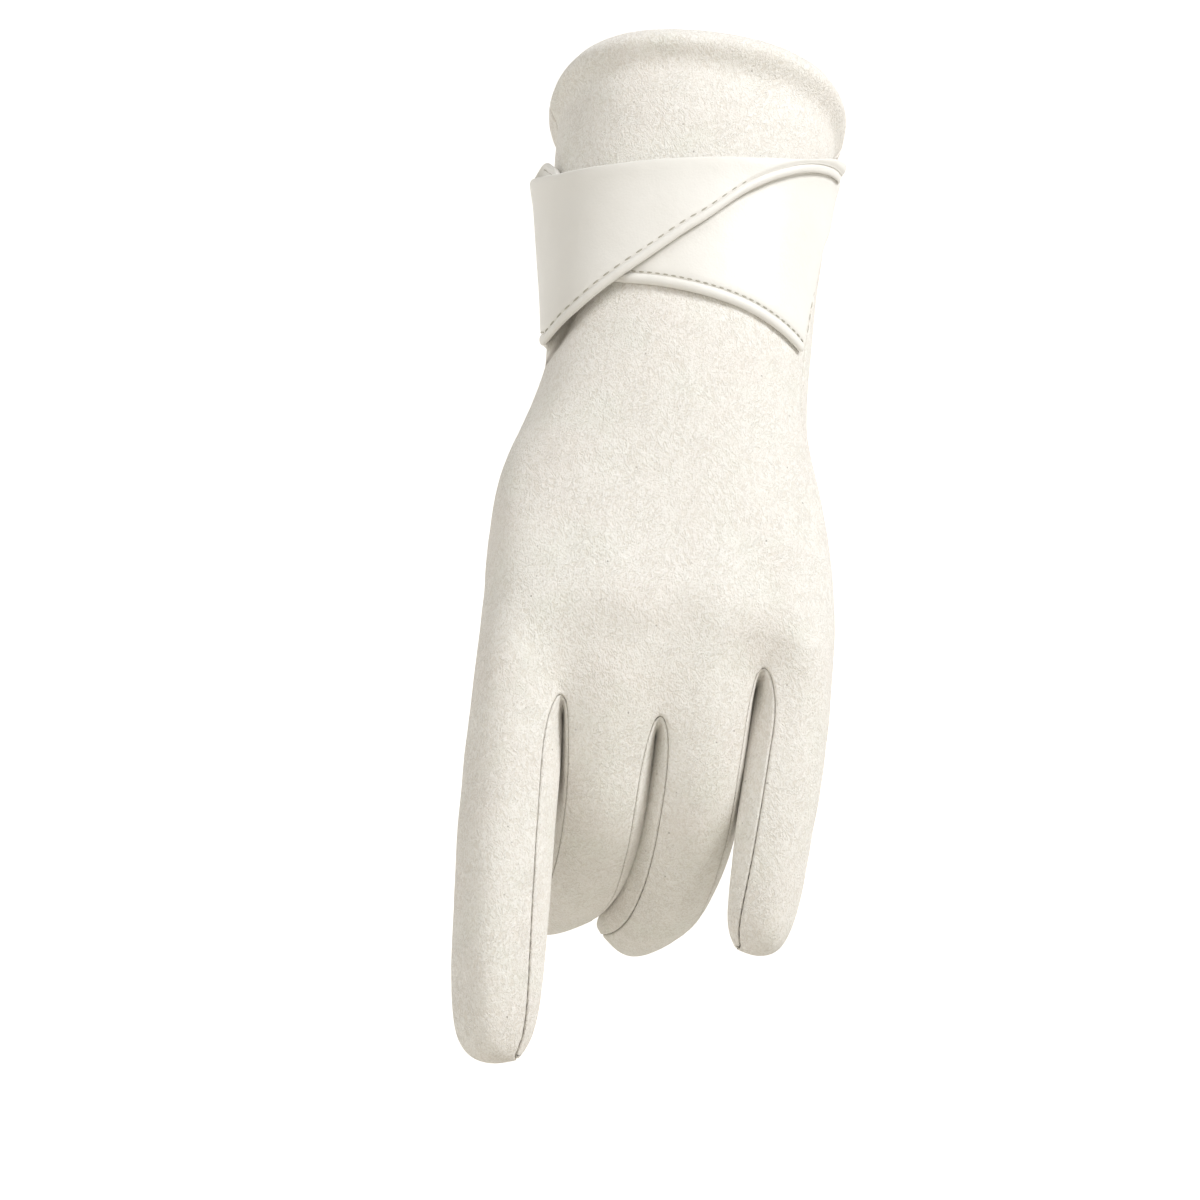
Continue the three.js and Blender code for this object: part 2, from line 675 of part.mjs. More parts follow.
function bandSolid(band) {
  const outer = [];
  const inner = [];
  const faces = [];
  const first = band.rows[0].across;
  const last = band.rows.at(-1).across;
  for (let i = 0; i <= bandSteps; i++) {
    const across = lerp(first, last, i / bandSteps);
    const row = readBand(band, across);
    const leatherLow = row.low + (bindingWidth + bandClearance) * row.slant;
    for (let j = 0; j <= bandRows; j++) {
      const up = j / bandRows;
      const z = lerp(leatherLow, row.high, up);
      const off = bandOff(band, row, across, up);
      outer.push(overCuff(across, z, off + leather));
      inner.push(overCuff(across, z, off));
      if (i === bandSteps || j === bandRows) continue;
      const corner = i * (bandRows + 1) + j;
      faces.push([corner, corner + bandRows + 1, corner + bandRows + 2, corner + 1]);
    }
  }
  return closeWall(outer, inner, faces, [...outer.keys()]);
}

// The binding runs along a band's finger-side edge, just below the leather.
function bindingSolid(band) {
  const points = [];
  const triangles = [];
  const first = band.rows[0].across;
  const last = band.rows.at(-1).across;
  for (let i = 0; i <= bandSteps; i++) {
    const across = lerp(first, last, i / bandSteps);
    const row = readBand(band, across);
    const middle = bandOff(band, row, across, 0) + leather / 2;
    const lowest = bandClearance + bindingThickness / 2;
    for (let k = 0; k < bindingSides; k++) {
      const angle = (2 * Math.PI * k) / bindingSides;
      const z = row.low + ((1 - Math.cos(angle)) / 2) * bindingWidth * row.slant;
      const off = Math.max(middle, lowest) + (Math.sin(angle) * bindingThickness) / 2;
      points.push(overCuff(across, z, off));
      if (i === bandSteps) continue;
      const corner = i * bindingSides + k;
      const next = i * bindingSides + ((k + 1) % bindingSides);
      triangles.push([corner, corner + bindingSides, next + bindingSides], [corner, next + bindingSides, next]);
    }
  }
  const lastRing = bandSteps * bindingSides;
  for (let k = 1; k + 1 < bindingSides; k++) {
    triangles.push([0, k, k + 1], [lastRing, lastRing + k + 1, lastRing + k]);
  }
  return geometryOf(points, triangles);
}

const suede = () => new THREE.MeshStandardMaterial({ color: suedeColour, roughness: 0.95, metalness: 0 });
const smoothLeather = () => new THREE.MeshStandardMaterial({ color: leatherColour, roughness: 0.5, metalness: 0 });

const glove = new THREE.Group();

function addPiece(name, geometry, material) {
  const mesh = new THREE.Mesh(geometry, material);
  mesh.name = name;
  glove.add(mesh);
}

const { web, hole } = addBody();
laidFingers.forEach((place, i) => addFinger(place, i, web));
addThumb(hole);

const skin = toLimit(subdivide(cage));
const inner = innerPoints(skin);
for (const piece of ["back_panel", "palm_panel", "thumb", ...fourchettes]) {
  addPiece(piece, skinPiece(skin, inner, piece), suede());
}

const bands = {
  over: { rows: overBand, gatheredAtStart: false },
  under: { rows: underBand, gatheredAtStart: true },
};
for (const [name, band] of Object.entries(bands)) {
  addPiece(`band_${name}`, bandSolid(band), smoothLeather());
  addPiece(`binding_${name}`, bindingSolid(band), smoothLeather());
}

export default glove;
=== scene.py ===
"""Left dress glove of pale suede with a crossed band of smooth leather round its cuff, in its worn form."""

import math

import bpy
import numpy as np
from mathutils import Matrix, Vector, noise


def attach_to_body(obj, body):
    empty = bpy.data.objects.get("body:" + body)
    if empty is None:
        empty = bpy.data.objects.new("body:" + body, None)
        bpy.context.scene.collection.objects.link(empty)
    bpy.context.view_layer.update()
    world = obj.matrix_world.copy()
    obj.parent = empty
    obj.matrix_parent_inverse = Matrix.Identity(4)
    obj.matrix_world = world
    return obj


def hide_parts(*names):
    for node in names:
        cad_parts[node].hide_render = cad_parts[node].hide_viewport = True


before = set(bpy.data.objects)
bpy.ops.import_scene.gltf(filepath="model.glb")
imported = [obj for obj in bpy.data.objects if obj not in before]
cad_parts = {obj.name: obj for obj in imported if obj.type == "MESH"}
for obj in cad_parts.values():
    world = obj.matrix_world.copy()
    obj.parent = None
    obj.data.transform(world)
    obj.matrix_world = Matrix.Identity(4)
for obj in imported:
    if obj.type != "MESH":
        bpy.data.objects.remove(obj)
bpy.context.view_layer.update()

# Sizes are in millimetres, as the glove was drafted; meshes are made in metres.
MM = 0.001

# Cuff and hand, outside sizes
CUFF_LENGTH = 75
PALM_LENGTH = 95.4
RIM_WIDTH = 72
RIM_DEPTH = 66
WRIST_WIDTH = 62.6
WRIST_DEPTH = 47
PALM_WIDTH = 80.5
PALM_DEPTH = 30
CUFF_EASE = 1.15
WRIST_SEAM_TURN = -22
RIM_SEAM_TURN = 3
CUFF_TWIST = -3
WRIST_SQUARE = 2
RIM_SQUARE = 2.3
KNUCKLE_RISE = 1.4
BETWEEN_KNUCKLES = -0.5

# Suede
WALL = 1.8
HEM_HEIGHT = 7.5
HEM_WALL = 3.4
HEM_BULGE = 1.4
FINGER_GAP = 0.4

# Fingers and thumb; the seams of a finger lie at these shares of its half width and half depth
FINGER_LENGTH = 88
SEAM_ACROSS = 0.75
SEAM_DEEP = 0.77
LEAN_OVER = (0.15, 0.85)

# Width as a share of the palm's, depth as a share of it, length as a share; web, roll, lean, curl
FINGERS = [
    (0.256, 0.86, 0.95, 0.893, -8, (1, 3), (3, 4, 3)),
    (0.251, 0.86, 0.96, 0.93, -2, (0, -27.5), (30, 53, 24)),
    (0.256, 0.86, 0.92, 0.774, 5, (-1, -19), (21, 44, 30)),
    (0.216, 0.88, 0.72, 0.77, 20, (-3, -5), (6, 8, 6)),
]
# The thumb the same way, with its own width and length
THUMB = (22, 0.9, 66, 0, 0, (-6, 14), (58, -42, -8))

# along, girth, thick, across, deep
FINGER_RINGS = [
    (0.12, 1.02, 1.23, 1, 1),
    (0.29, 1.03, 1.09, 1, 0.97),
    (0.48, 1.02, 1.01, 1, 0.9),
    (0.68, 0.98, 1, 1.02, 0.78),
    (0.83, 0.95, 1, 1.05, 0.62),
    (0.925, 0.8, 1, 1.12, 0.46),
    (0.975, 0.5, 1, 1.18, 0.42),
]
THUMB_RINGS = [
    (0.16, 1.1, 1, 1, 1),
    (0.38, 1.03, 1, 1, 1),
    (0.6, 1, 1, 1, 1),
    (0.81, 0.93, 1, 1, 1),
    (0.95, 0.64, 1, 1, 1),
]

# Joints of a finger: where each lies along it, and how long its bend is
JOINTS = [(0, 0.01), (0.36, 0.26), (0.68, 0.2)]

# How far each ring of the hem lies below the rim, in hem heights, and how far it bulges
HEM_RINGS = [(0, 0), (0.47, 1.9), (1.12, -0.95), (1.7, -0.15)]
CUFF_RINGS = [0.64, 0.4, 0.17, -0.07]

# down, swell, thin, square, fan, knuckle, shift, lift
PALM_RINGS = [
    (0.18, 0.18, 0.18, 2.1, 0, 0, -0.014, 0),
    (0.335, 0.72, 0.55, 2.2, 0.25, 0, -0.024, 0.02),
    (0.49, 0.95, 0.8, 2.35, 0.6, 0.1, -0.012, 0.04),
    (0.63, 0.985, 0.94, 2.5, 0.85, 0.6, 0.001, 0.06),
    (0.75, 1, 1, 2.6, 1, 1, 0.005, 0.02),
]
HAND_SHIFT = PALM_WIDTH * PALM_RINGS[-1][6]
WEB_DROP = 0.075
WEB_BACK = 0.33
WEB_PALM = 0.36
WEB_MIDDLE = 0.04
WEB_ROOT = 0.46
SIDE_UP = 0.06

# Columns round the glove: 0 to 8 over the back, 10 to 18 over the palm, and a side seam on each side
COLUMNS = 20
MIDDLE_COLUMN = 4
LAST_BACK = 8
LITTLE_SEAM = 9
LAST_PALM = 18
INDEX_SEAM = 19
COLUMN_ANGLE = 360 / COLUMNS
RING_GROWTH = 6 / (4 + 2 * math.cos(math.radians(COLUMN_ANGLE)))
DIGIT_STEPS = 100
THUMB_HOLE_ROWS = 2
THUMB_COLUMNS = (16, 18)

PIECES = [
    "back_panel",
    "palm_panel",
    "thumb",
    "fourchette_index_middle",
    "fourchette_middle_ring",
    "fourchette_ring_little",
]
BACK, PALM, THUMB_PIECE = 0, 1, 2
SKIN_LEVELS = 3

# Creases inside a finger's bends: their way from the second and third joint in finger lengths, the least
# bend that has them, half their length in finger widths, half width and depth
BEND_CREASES = [(-0.07, 0, 0.065), (-0.02, 0.04)]
CREASED_FROM = 20
CREASE_REACH = 0.34
BEND_CREASE = (1.5, 1.1)

# The hollow under the upper band at the thumb side: ends, half width and depth, then reach and strength of
# the shadow painted into the suede there
HOLLOW = ((-31.5, -1, -3), (-25, -16, 7))
HOLLOW_PRESS = (4.5, 2.4)
HOLLOW_SHADE = 2.3
HOLLOW_DARK = 0.9

# Soft creases along the suede: two ends, half width and depth of each; the knuckles' ridge rises
CREASES = [
    ((-29, -8, -69), (26, -11, -65), 8, -1.1),
    ((-22, -31, 68), (12, -34, 66), 2.2, 0.25),
    ((-29, -8, -84), (-25, -10, -71), 4.5, 0.45),
    ((-11, -16, -87), (-6, -17, -71), 4.5, 0.7),
    ((10, -16, -80), (4, -18, -68), 2.5, 0.3),
    ((25, -14, -66), (20, -17, -55), 3, 0.35),
    ((-14, 15, -70), (20, 14, -58), 1.9, 1.1),
    ((-4, 15, -83), (32, 11, -75), 1.9, 1.1),
    ((-18, 22, -4), (14, 23, -8), 2.2, 1),
    ((-6, 23, 5), (22, 22, 1), 2.2, 0.8),
]
# How deep a crease's line may lie under the skin it presses; size and height of the soft unevenness
SNAP_DEPTH = 9
CREASE_FADE = (0.04, 0.96)
SOFTNESS = [(14, 0.22), (5, 0.07)]

# Seams: how far an edge rolls in, at most which share of the room beside it, and how its depth varies
ROLL = 0.95
ROLL_SHARE = 0.6
ROLL_ANGLES = [math.radians(angle) for angle in (0, 28, 52, 74, 90)]
SEAM_HALF_GAP = 0.07
PUCKER = 0.22
PUCKER_LENGTH = 2.6
RIM_CROWN = 0.7
LEAST_MITRE = 0.8

# Leather bands
BAND_TOP = 0.747 * CUFF_LENGTH
BAND_HEIGHT = 0.813 * CUFF_LENGTH
LEATHER = 1.2
BAND_CLEARANCE = 0.3
BINDING_WIDTH = 2.4
BINDING_THICKNESS = 2
CROSSING_HEIGHT = BAND_CLEARANCE + BINDING_THICKNESS
SLOPE_STEP = 0.01

# across, low, high, off_high, off_low
LOW, HIGH, OFF_HIGH, OFF_LOW = 1, 2, 3, 4
OVER_BAND = [
    (0.01, 0.8, 0.13, 1.3, 0),
    (0.07, 0.825, 0.155, 1.8, 0),
    (0.14, 0.875, 0.21, 1.5, 0.2),
    (0.23, 0.925, 0.265, 1.15, 0.5),
    (0.34, 0.892, 0.3, 1, 0.9),
    (0.42, 0.822, 0.31, 1, 1),
    (0.52, 0.694, 0.297, 1, 1),
    (0.6, 0.54, 0.268, 1, 1),
    (0.67, 0.37, 0.235, 1, 1),
    (0.76, 0.225, 0.17, 1, 1),
    (0.86, 0.125, 0.055, 0.88, 0.88),
    (0.955, 0.065, -0.03, 0.8, 0.8),
]
UNDER_BAND = [
    (0.01, 0.18, 0.134, 1.7, 0.1),
    (0.035, 0.19, 0.118, 1.48, 0.2),
    (0.06, 0.2, 0.102, 1.04, 0.4),
    (0.085, 0.22, 0.092, 0.6, 0.35),
    (0.115, 0.26, 0.128, 0.3, 0.3),
    (0.15, 0.32, 0.172, 0.2, 0.2),
    (0.19, 0.4, 0.24, 0.2, 0.15),
    (0.28, 0.6, 0.29, 0.1, 0.1),
    (0.37, 0.73, 0.315, 0.1, 0.1),
    (0.45, 0.772, 0.32, 0.1, 0.1),
    (0.55, 0.797, 0.3, 0.1, 0.1),
    (0.65, 0.82, 0.265, 0.1, 0.1),
    (0.75, 0.843, 0.2, 0.1, 0.1),
    (0.85, 0.872, 0.115, 0.1, 0.1),
    (0.99, 0.905, 0.01, 0.1, 0.1),
]

# Over which shares of the cuff a band's ends come down to the side seams, and what is left of its height
PINCH = 0.025
PINCH_START = (-PINCH / 3, PINCH)
PINCH_END = (-PINCH / 3, 1.6 * PINCH)
SEWN_DOWN = 0.08

# Steps along and across a band, and round the fold of its upper edge
BAND_STEPS = 220
BAND_ROWS = 30
FOLD_STEPS = 8
FOLD_SWELL = 0.55
FOLD_REACH = 4
FOLD_FLATNESS = 0.9
GROOVE_DEPTH = 0.45
GROOVE_WIDTH = 0.8
# The ends are rounded over this share of the cuff, and keep this much of their thickness
END_CAP = 0.012
THINNEST_ROUND = 0.0004
THINNEST_LEATHER = 0.35
# The lower band's end at the little finger is cut on a slant between these heights
END_SLANT = 0.028
SLANT_FROM = 0.8
SLANT_HEIGHTS = (0.25 * BAND_HEIGHT, 0.42 * BAND_HEIGHT)
# The lower band's ear at the thumb side, and how late it stands off on its way up
EAR = 0.12
EAR_POWER = 3

# Rolled bindings; the upper one gets thinner over its last part
BINDING_SIDES = 20
BINDING_LAP = 0.25
ROLL_THICKNESS = 1.6
ROLL_INSET = 0.05
ROLL_FADE = (0.7, 0.93)
ROLL_LEFT = 0.55

# Pitch, length and thickness of the stitches
OVER_STITCH = (3.05, 1.95, 0.4)
UNDER_STITCH = (1.9, 1.25, 0.4)
EAR_STITCH = (0.85, 0.8, 0.26)
SIDE_STITCH = (3.2, 2.1, 0.4)
SEAM_STITCH = (2.6, 1.3, 0.34)
# Where the stitches of the bands begin and end, and how they lie above the binding and in the leather
STITCHES_BEGIN = 0.01
OVER_STITCHES_END = 0.72
UNDER_STITCHES_END = 0.975
STITCHES_ABOVE = 0.35
STITCHES_UP = 0.03
STITCH_DEPTH = 0.26
LINE_STEPS = 300
EAR_STITCHES = (0.09, 0.14)
EAR_STEPS = 20
EAR_BELOW = 1.1
EAR_UP = 0.9
EAR_INSET = 0.1
SIDE_ACROSS = (0.998, 0.978)
SIDE_HEIGHTS = (10, 34)
SIDE_STEPS = 60
SIDE_OFF = 0.05
SEAM_STITCH_DEPTH = 0.55
SHORTEST_SEAM = 4

# Colours of the suede, the leather and the thread
SUEDE_LIGHT = (0.862, 0.845, 0.797, 1)
SUEDE_PINK = (0.838, 0.8, 0.752, 1)
SUEDE_GREEN = (0.8, 0.8, 0.73, 1)
NAP_SHADE = (0.61, 0.56, 0.475, 1)
NAP_LIGHT = (0.94, 0.93, 0.9, 1)
NAP_DEPTH = 0.36
# Dark brown of the painted shade down the seams' rolled edges and in the hollow under the upper band
PAINTED_SHADE_COLOUR = (0.16, 0.125, 0.095, 1)
SPECK = (0.2, 0.165, 0.135, 1)
LEATHER_LIGHT = (0.825, 0.81, 0.77, 1)
LEATHER_WARM = (0.79, 0.77, 0.725, 1)
THREAD_DARK = (0.36, 0.34, 0.28, 1)
THREAD_LIGHT = (0.52, 0.5, 0.43, 1)

# Nap: turn of the hairs, and how many there are across and along a millimetre; half a hair's width
NAP_WAYS = [(-32, 1.4, 0.66), (24, 1.3, 0.6)]
NAP_HALF_WIDTH = 0.13

# The camera stands below and in front of the glove and looks up at it
CAMERA_DISTANCE = 0.5
CAMERA_TILT = math.radians(25)
CAMERA_ROLL = math.radians(5.35)
CAMERA_TARGET = Vector((-0.0132, 0, -0.062))

# name, place, what it shines at, size, power, colour
LIGHTS = [
    ("key", (0.72, -0.8, 0.62), (0, 0, -0.03), 0.5, 14.6, (0.985, 0.99, 1)),
    ("fill", (-0.95, -0.75, 0.2), (0, 0, -0.05), 0.9, 4, (1, 0.99, 0.97)),
]

# Paper behind the glove, in metres: it runs back to a bend and then up, and glows more as it rises
FLOOR = -0.42
PAPER_ON_FLOOR = [-6, -1.2, 0.4]
PAPER_BEND_AT = 0.6
PAPER_BEND = 0.5
PAPER_BEND_STEPS = 12
PAPER_UPRIGHT = [1, 2.6]
PAPER_HALF_WIDTH = 6
GLOW_RISE = 0.35
GLOW = (0.05, 0.75)


def lerp(a, b, t):
    return a + (b - a) * t


def smoothstep(x, low, high):
    t = np.clip((x - low) / (high - low), 0, 1)
    return t * t * (3 - 2 * t)


def unit(vectors):
    length = np.linalg.norm(vectors, axis=-1, keepdims=True)
    return vectors / np.maximum(length, 1e-12)


def vec(x, y, z):
    return np.array([x, y, z], float)


def cuff_section(z):
    flare = (max(z, 0) / CUFF_LENGTH) ** CUFF_EASE
    return (
        lerp(WRIST_WIDTH, RIM_WIDTH, flare) / 2,
        lerp(WRIST_DEPTH, RIM_DEPTH, flare) / 2,
        lerp(WRIST_SQUARE, RIM_SQUARE, flare),
        CUFF_TWIST * flare,
        lerp(WRIST_SEAM_TURN, RIM_SEAM_TURN, flare),
    )


def section_point(turn, half_width, half_depth, square):
    s = math.sin(math.radians(turn))
    c = math.cos(math.radians(turn))
    x = math.copysign(half_width * abs(s) ** (2 / square), s)
    y = -math.copysign(half_depth * abs(c) ** (2 / square), c)
    return x, y


def column_turn(column, turn):
    return (column - MIDDLE_COLUMN) * COLUMN_ANGLE + turn


def cuff_point(column, z, grow):
    half_width, half_depth, square, twist, seam_turn = cuff_section(z)
    x, y = section_point(column_turn(column, seam_turn), grow(half_width), grow(half_depth), square)
    s, c = math.sin(-math.radians(twist)), math.cos(-math.radians(twist))
    return vec(x * c - y * s, x * s + y * c, z)


def lay_fingers():
    """Width and middle of each finger across the knuckles."""
    shares = sum(finger[0] for finger in FINGERS)
    room = PALM_WIDTH - (len(FINGERS) - 1) * FINGER_GAP
    left = -PALM_WIDTH / 2
    laid = []
    for finger in FINGERS:
        width = room * finger[0] / shares
        laid.append((width, left + width / 2))
        left += width + FINGER_GAP
    return laid


LAID = lay_fingers()


def back_column(column):
    """The column of the back that lies over a column of the palm."""
    return column if column <= LAST_BACK else LAST_PALM - column


def finger_column(column):
    back = back_column(column)
    if back == 0:
        return LAID[0][1] - SEAM_ACROSS * LAID[0][0] / 2
    if back == LAST_BACK:
        return LAID[-1][1] + SEAM_ACROSS * LAID[-1][0] / 2
    width, centre = LAID[(back - 1) // 2]
    return centre if back % 2 == 1 else centre + (width + FINGER_GAP) / 2


def web_level(column):
    """How far down the palm a column reaches before the fingers part."""
    back = back_column(column)
    webs = [FINGERS[0][3] - SIDE_UP] + [finger[3] for finger in FINGERS]
    return (webs[back // 2] + webs[(back + 1) // 2]) / 2


def digit_frame(digit, along, across):
    """Direction of a finger at a share of its length, and the two axes of its section there."""
    *_, roll, leans, curls = digit
    curl = 0
    for angle, (at, bend) in zip(curls, JOINTS):
        curl += angle * smoothstep(along, at - bend / 2, at + bend / 2)
    lean = math.radians(lerp(leans[0], leans[1], smoothstep(along, *LEAN_OVER)))
    bend = math.radians(curl)
    forward = vec(math.sin(lean), math.sin(bend) * math.cos(lean), -math.cos(bend) * math.cos(lean))
    back = unit(np.cross(forward, across))
    side = unit(np.cross(back, forward))
    s, c = math.sin(math.radians(roll)), math.cos(math.radians(roll))
    return forward, back * c + side * s, side * c - back * s


def between(beside):
    """Where a control point lies so that the smooth skin reaches 1 between two others at a given share."""
    return 1.5 - beside / 2


class Cage:
    """Control points and four-sided faces of the glove's skin, each face belonging to one piece."""

    def __init__(self):
        self.points = []
        self.faces = []
        self.pieces = []
        self.folds = []

    def point(self, place):
        self.points.append(place)
        return len(self.points) - 1

    def face(self, piece, *corners):
        self.faces.append(corners)
        self.pieces.append(piece)

    def tube(self, upper, lower, pieces):
        for i, corner in enumerate(upper):
            following = (i + 1) % len(upper)
            if pieces[i] is not None:
                self.face(pieces[i], corner, lower[i], lower[following], upper[following])

    def mean(self, corners):
        return sum(self.points[corner] for corner in corners) / len(corners)

    def cuff_ring(self, z, bulge):
        def grow(half):
            return (half + bulge) * RING_GROWTH

        return [self.point(cuff_point(column, z, grow)) for column in range(COLUMNS)]

    def palm_ring(self, row):
        down, swell, thin, square, fan, knuckle, shift, lift = row
        half_width = lerp(WRIST_WIDTH, PALM_WIDTH, swell) / 2 * RING_GROWTH
        half_depth = lerp(WRIST_DEPTH, PALM_DEPTH, thin) / 2 * RING_GROWTH
        ring = []
        for column in range(COLUMNS):
            turn = column_turn(column, WRIST_SEAM_TURN * (1 - fan))
            x, y = section_point(turn, half_width, half_depth, square)
            is_back = column <= LAST_BACK
            if column not in (LITTLE_SEAM, INDEX_SEAM):
                x = lerp(x, finger_column(column), fan)
                rise = 1 - min(abs(x) / half_width, 1) ** square
                y = (-1 if is_back else 1) * half_depth * rise ** (1 / square)
            rise = KNUCKLE_RISE * (1 if column % 2 == 1 else BETWEEN_KNUCKLES)
            bump = knuckle * rise if is_back else 0
            place = vec(x + shift * PALM_WIDTH, y - lift * PALM_DEPTH - bump, -down * PALM_LENGTH)
            ring.append(self.point(place))
        return ring

    def web_ring(self):
        def place(x, y, level):
            return self.point(vec(x + HAND_SHIFT, y, -level * PALM_LENGTH))

        ring = []
        for column in range(COLUMNS):
            if column in (LITTLE_SEAM, INDEX_SEAM):
                side, edge = (1, LAST_BACK) if column == LITTLE_SEAM else (-1, 0)
                ring.append(place(side * PALM_WIDTH / 2 * RING_GROWTH, 0, web_level(edge)))
                continue
            is_back = column <= LAST_BACK
            is_edge = back_column(column) in (0, LAST_BACK)
            is_web = column % 2 == 0 and not is_edge
            deep = (WEB_BACK if is_back else WEB_PALM) if is_web else WEB_ROOT
            y = (-1 if is_back else 1) * deep * (SEAM_DEEP if is_edge else 1) * PALM_DEPTH
            drop = 0 if is_back else WEB_DROP
            ring.append(place(finger_column(column), y, web_level(column) + drop))
        y = WEB_MIDDLE * PALM_DEPTH
        webs = range(2, LAST_BACK, 2)
        return ring, [place(finger_column(web), y, web_level(web) + WEB_DROP / 2) for web in webs]

    def digit(self, digit, root, across, rows):
        """Rings of eight control points down a finger, from its root, and the point that closes its tip."""
        width, depth, length = digit[:3]
        centre = root.copy()
        travelled = 0
        rings = []
        for along, girth, thick, wide, deep_share in [*rows, (1, 0, 0, 0, 0)]:
            while travelled < along - 1e-9:
                step = min(1 / DIGIT_STEPS, along - travelled)
                centre = centre + digit_frame(digit, travelled + step / 2, across)[0] * step * length
                travelled += step
            if girth == 0:
                break
            _, back, side = digit_frame(digit, along, across)
            half_width = width / 2 * girth
            half_depth = width / 2 * depth * girth * thick
            edge = SEAM_ACROSS * wide
            deep = SEAM_DEEP * deep_share
            over, beside = between(deep), between(edge)
            section = [(-edge, deep), (0, over), (edge, deep), (beside, 0)]
            section += [(-s, -b) for s, b in section]
            places = [centre + side * s * half_width + back * b * half_depth for s, b in section]
            rings.append([self.point(place) for place in places])
        return rings, self.point(centre)

    def fold_lines(self, digit, root, across):
        """Short creases across the palm side of a finger's bends."""
        width, depth, length = digit[:3]
        lines = []
        for (joint, _), shifts, curl in zip(JOINTS[1:], BEND_CREASES, digit[-1][1:]):
            if curl <= CREASED_FROM:
                continue
            for shift in shifts:
                along = joint + shift
                centre = root.copy()
                for k in range(int(along * DIGIT_STEPS)):
                    centre = centre + digit_frame(digit, k / DIGIT_STEPS, across)[0] / DIGIT_STEPS * length
                _, back, side = digit_frame(digit, along, across)
                middle = centre - back * width / 2 * depth
                half = side * width * CREASE_REACH
                lines.append((tuple(middle - half), tuple(middle + half), *BEND_CREASE))
        return lines

    def close_tip(self, ring, tip, back_piece, palm_piece):
        self.face(back_piece, ring[0], ring[7], tip, ring[1])
        for piece, k in ((back_piece, 1), (palm_piece, 3), (palm_piece, 5)):
            self.face(piece, ring[k], tip, ring[k + 2], ring[k + 1])

    def hang_digit(self, loop, digit, root, across, rows, pieces, tip_pieces):
        rings, tip = self.digit(digit, root, across, rows)
        every = [loop, *rings]
        for upper, lower in zip(every, every[1:]):
            self.tube(upper, lower, pieces)
        self.close_tip(rings[-1], tip, *tip_pieces)

    def hang_finger(self, index, web, middles):
        finger = FINGERS[index]
        is_first, is_last = index == 0, index == len(FINGERS) - 1
        near, far = 2 * index, LAST_PALM - 2 * index
        loop = [web[near], web[near + 1], web[near + 2]]
        loop.append(web[LITTLE_SEAM] if is_last else middles[index])
        loop += [web[far - 2], web[far - 1], web[far]]
        loop.append(web[INDEX_SEAM] if is_first else middles[index - 1])
        right = [BACK, PALM] if is_last else [THUMB_PIECE + 1 + index] * 2
        left = [PALM, BACK] if is_first else [THUMB_PIECE + index] * 2
        width, centre = LAID[index]
        root = self.mean(loop)
        root[0] = centre + HAND_SHIFT
        digit = (width, finger[1], FINGER_LENGTH * finger[2], *finger[3:])
        across = vec(1, 0, 0)
        self.folds += self.fold_lines(digit, root, across)
        pieces = [BACK, BACK, *right, PALM, PALM, *left]
        self.hang_digit(loop, digit, root, across, FINGER_RINGS, pieces, (BACK, PALM))

    def hang_thumb(self, top, mid, bottom):
        first, last = THUMB_COLUMNS
        loop = [top[first], top[first + 1], top[last], mid[last]]
        loop += [bottom[last], bottom[first + 1], bottom[first], mid[first]]
        pieces = [THUMB_PIECE] * len(loop)
        self.hang_digit(loop, THUMB, self.mean(loop), vec(-1, 0, 0), THUMB_RINGS, pieces, pieces[:2])


def draft_skin():
    cage = Cage()
    rings = []
    for below, bulge in HEM_RINGS:
        rings.append(cage.cuff_ring(CUFF_LENGTH - below * HEM_HEIGHT, bulge * HEM_BULGE))
    rings += [cage.cuff_ring(share * CUFF_LENGTH, 0) for share in CUFF_RINGS]
    first_palm = len(rings)
    rings += [cage.palm_ring(row) for row in PALM_RINGS]
    web, middles = cage.web_ring()
    rings.append(web)
    first, last = THUMB_COLUMNS
    for i, (upper, lower) in enumerate(zip(rings, rings[1:])):
        pieces = [PALM if LITTLE_SEAM <= column <= LAST_PALM else BACK for column in range(COLUMNS)]
        if first_palm <= i < first_palm + THUMB_HOLE_ROWS:
            pieces[first:last] = [None] * (last - first)
        cage.tube(upper, lower, pieces)
    for index in range(len(FINGERS)):
        cage.hang_finger(index, web, middles)
    cage.hang_thumb(*rings[first_palm : first_palm + 3])
    return cage


def sides(corners):
    """Pairs of neighbouring corners round a face."""
    return zip(corners, [*corners[1:], corners[0]])


def edge_faces(faces):
    beside = {}
    for f, corners in enumerate(faces):
        for a, b in sides(corners):
            beside.setdefault((min(a, b), max(a, b)), []).append(f)
    return beside


def new_object(name, data):
    obj = bpy.data.objects.new(name, data)
    bpy.context.scene.collection.objects.link(obj)
    return obj


def smooth_mesh(name, verts, polys):
    mesh = bpy.data.meshes.new(name)
    mesh.from_pydata(verts, [], polys)
    mesh.polygons.foreach_set("use_smooth", [True] * len(polys))
    mesh.validate()
    return mesh


def drop(obj):
    mesh = obj.data
    bpy.data.objects.remove(obj)
    bpy.data.meshes.remove(mesh)


def evaluated_mesh(obj):
    depsgraph = bpy.context.evaluated_depsgraph_get()
    return bpy.data.meshes.new_from_object(obj.evaluated_get(depsgraph))


def read_all(items, key, each, kind):
    values = np.empty(len(items) * each, kind)
    items.foreach_get(key, values)
    return values


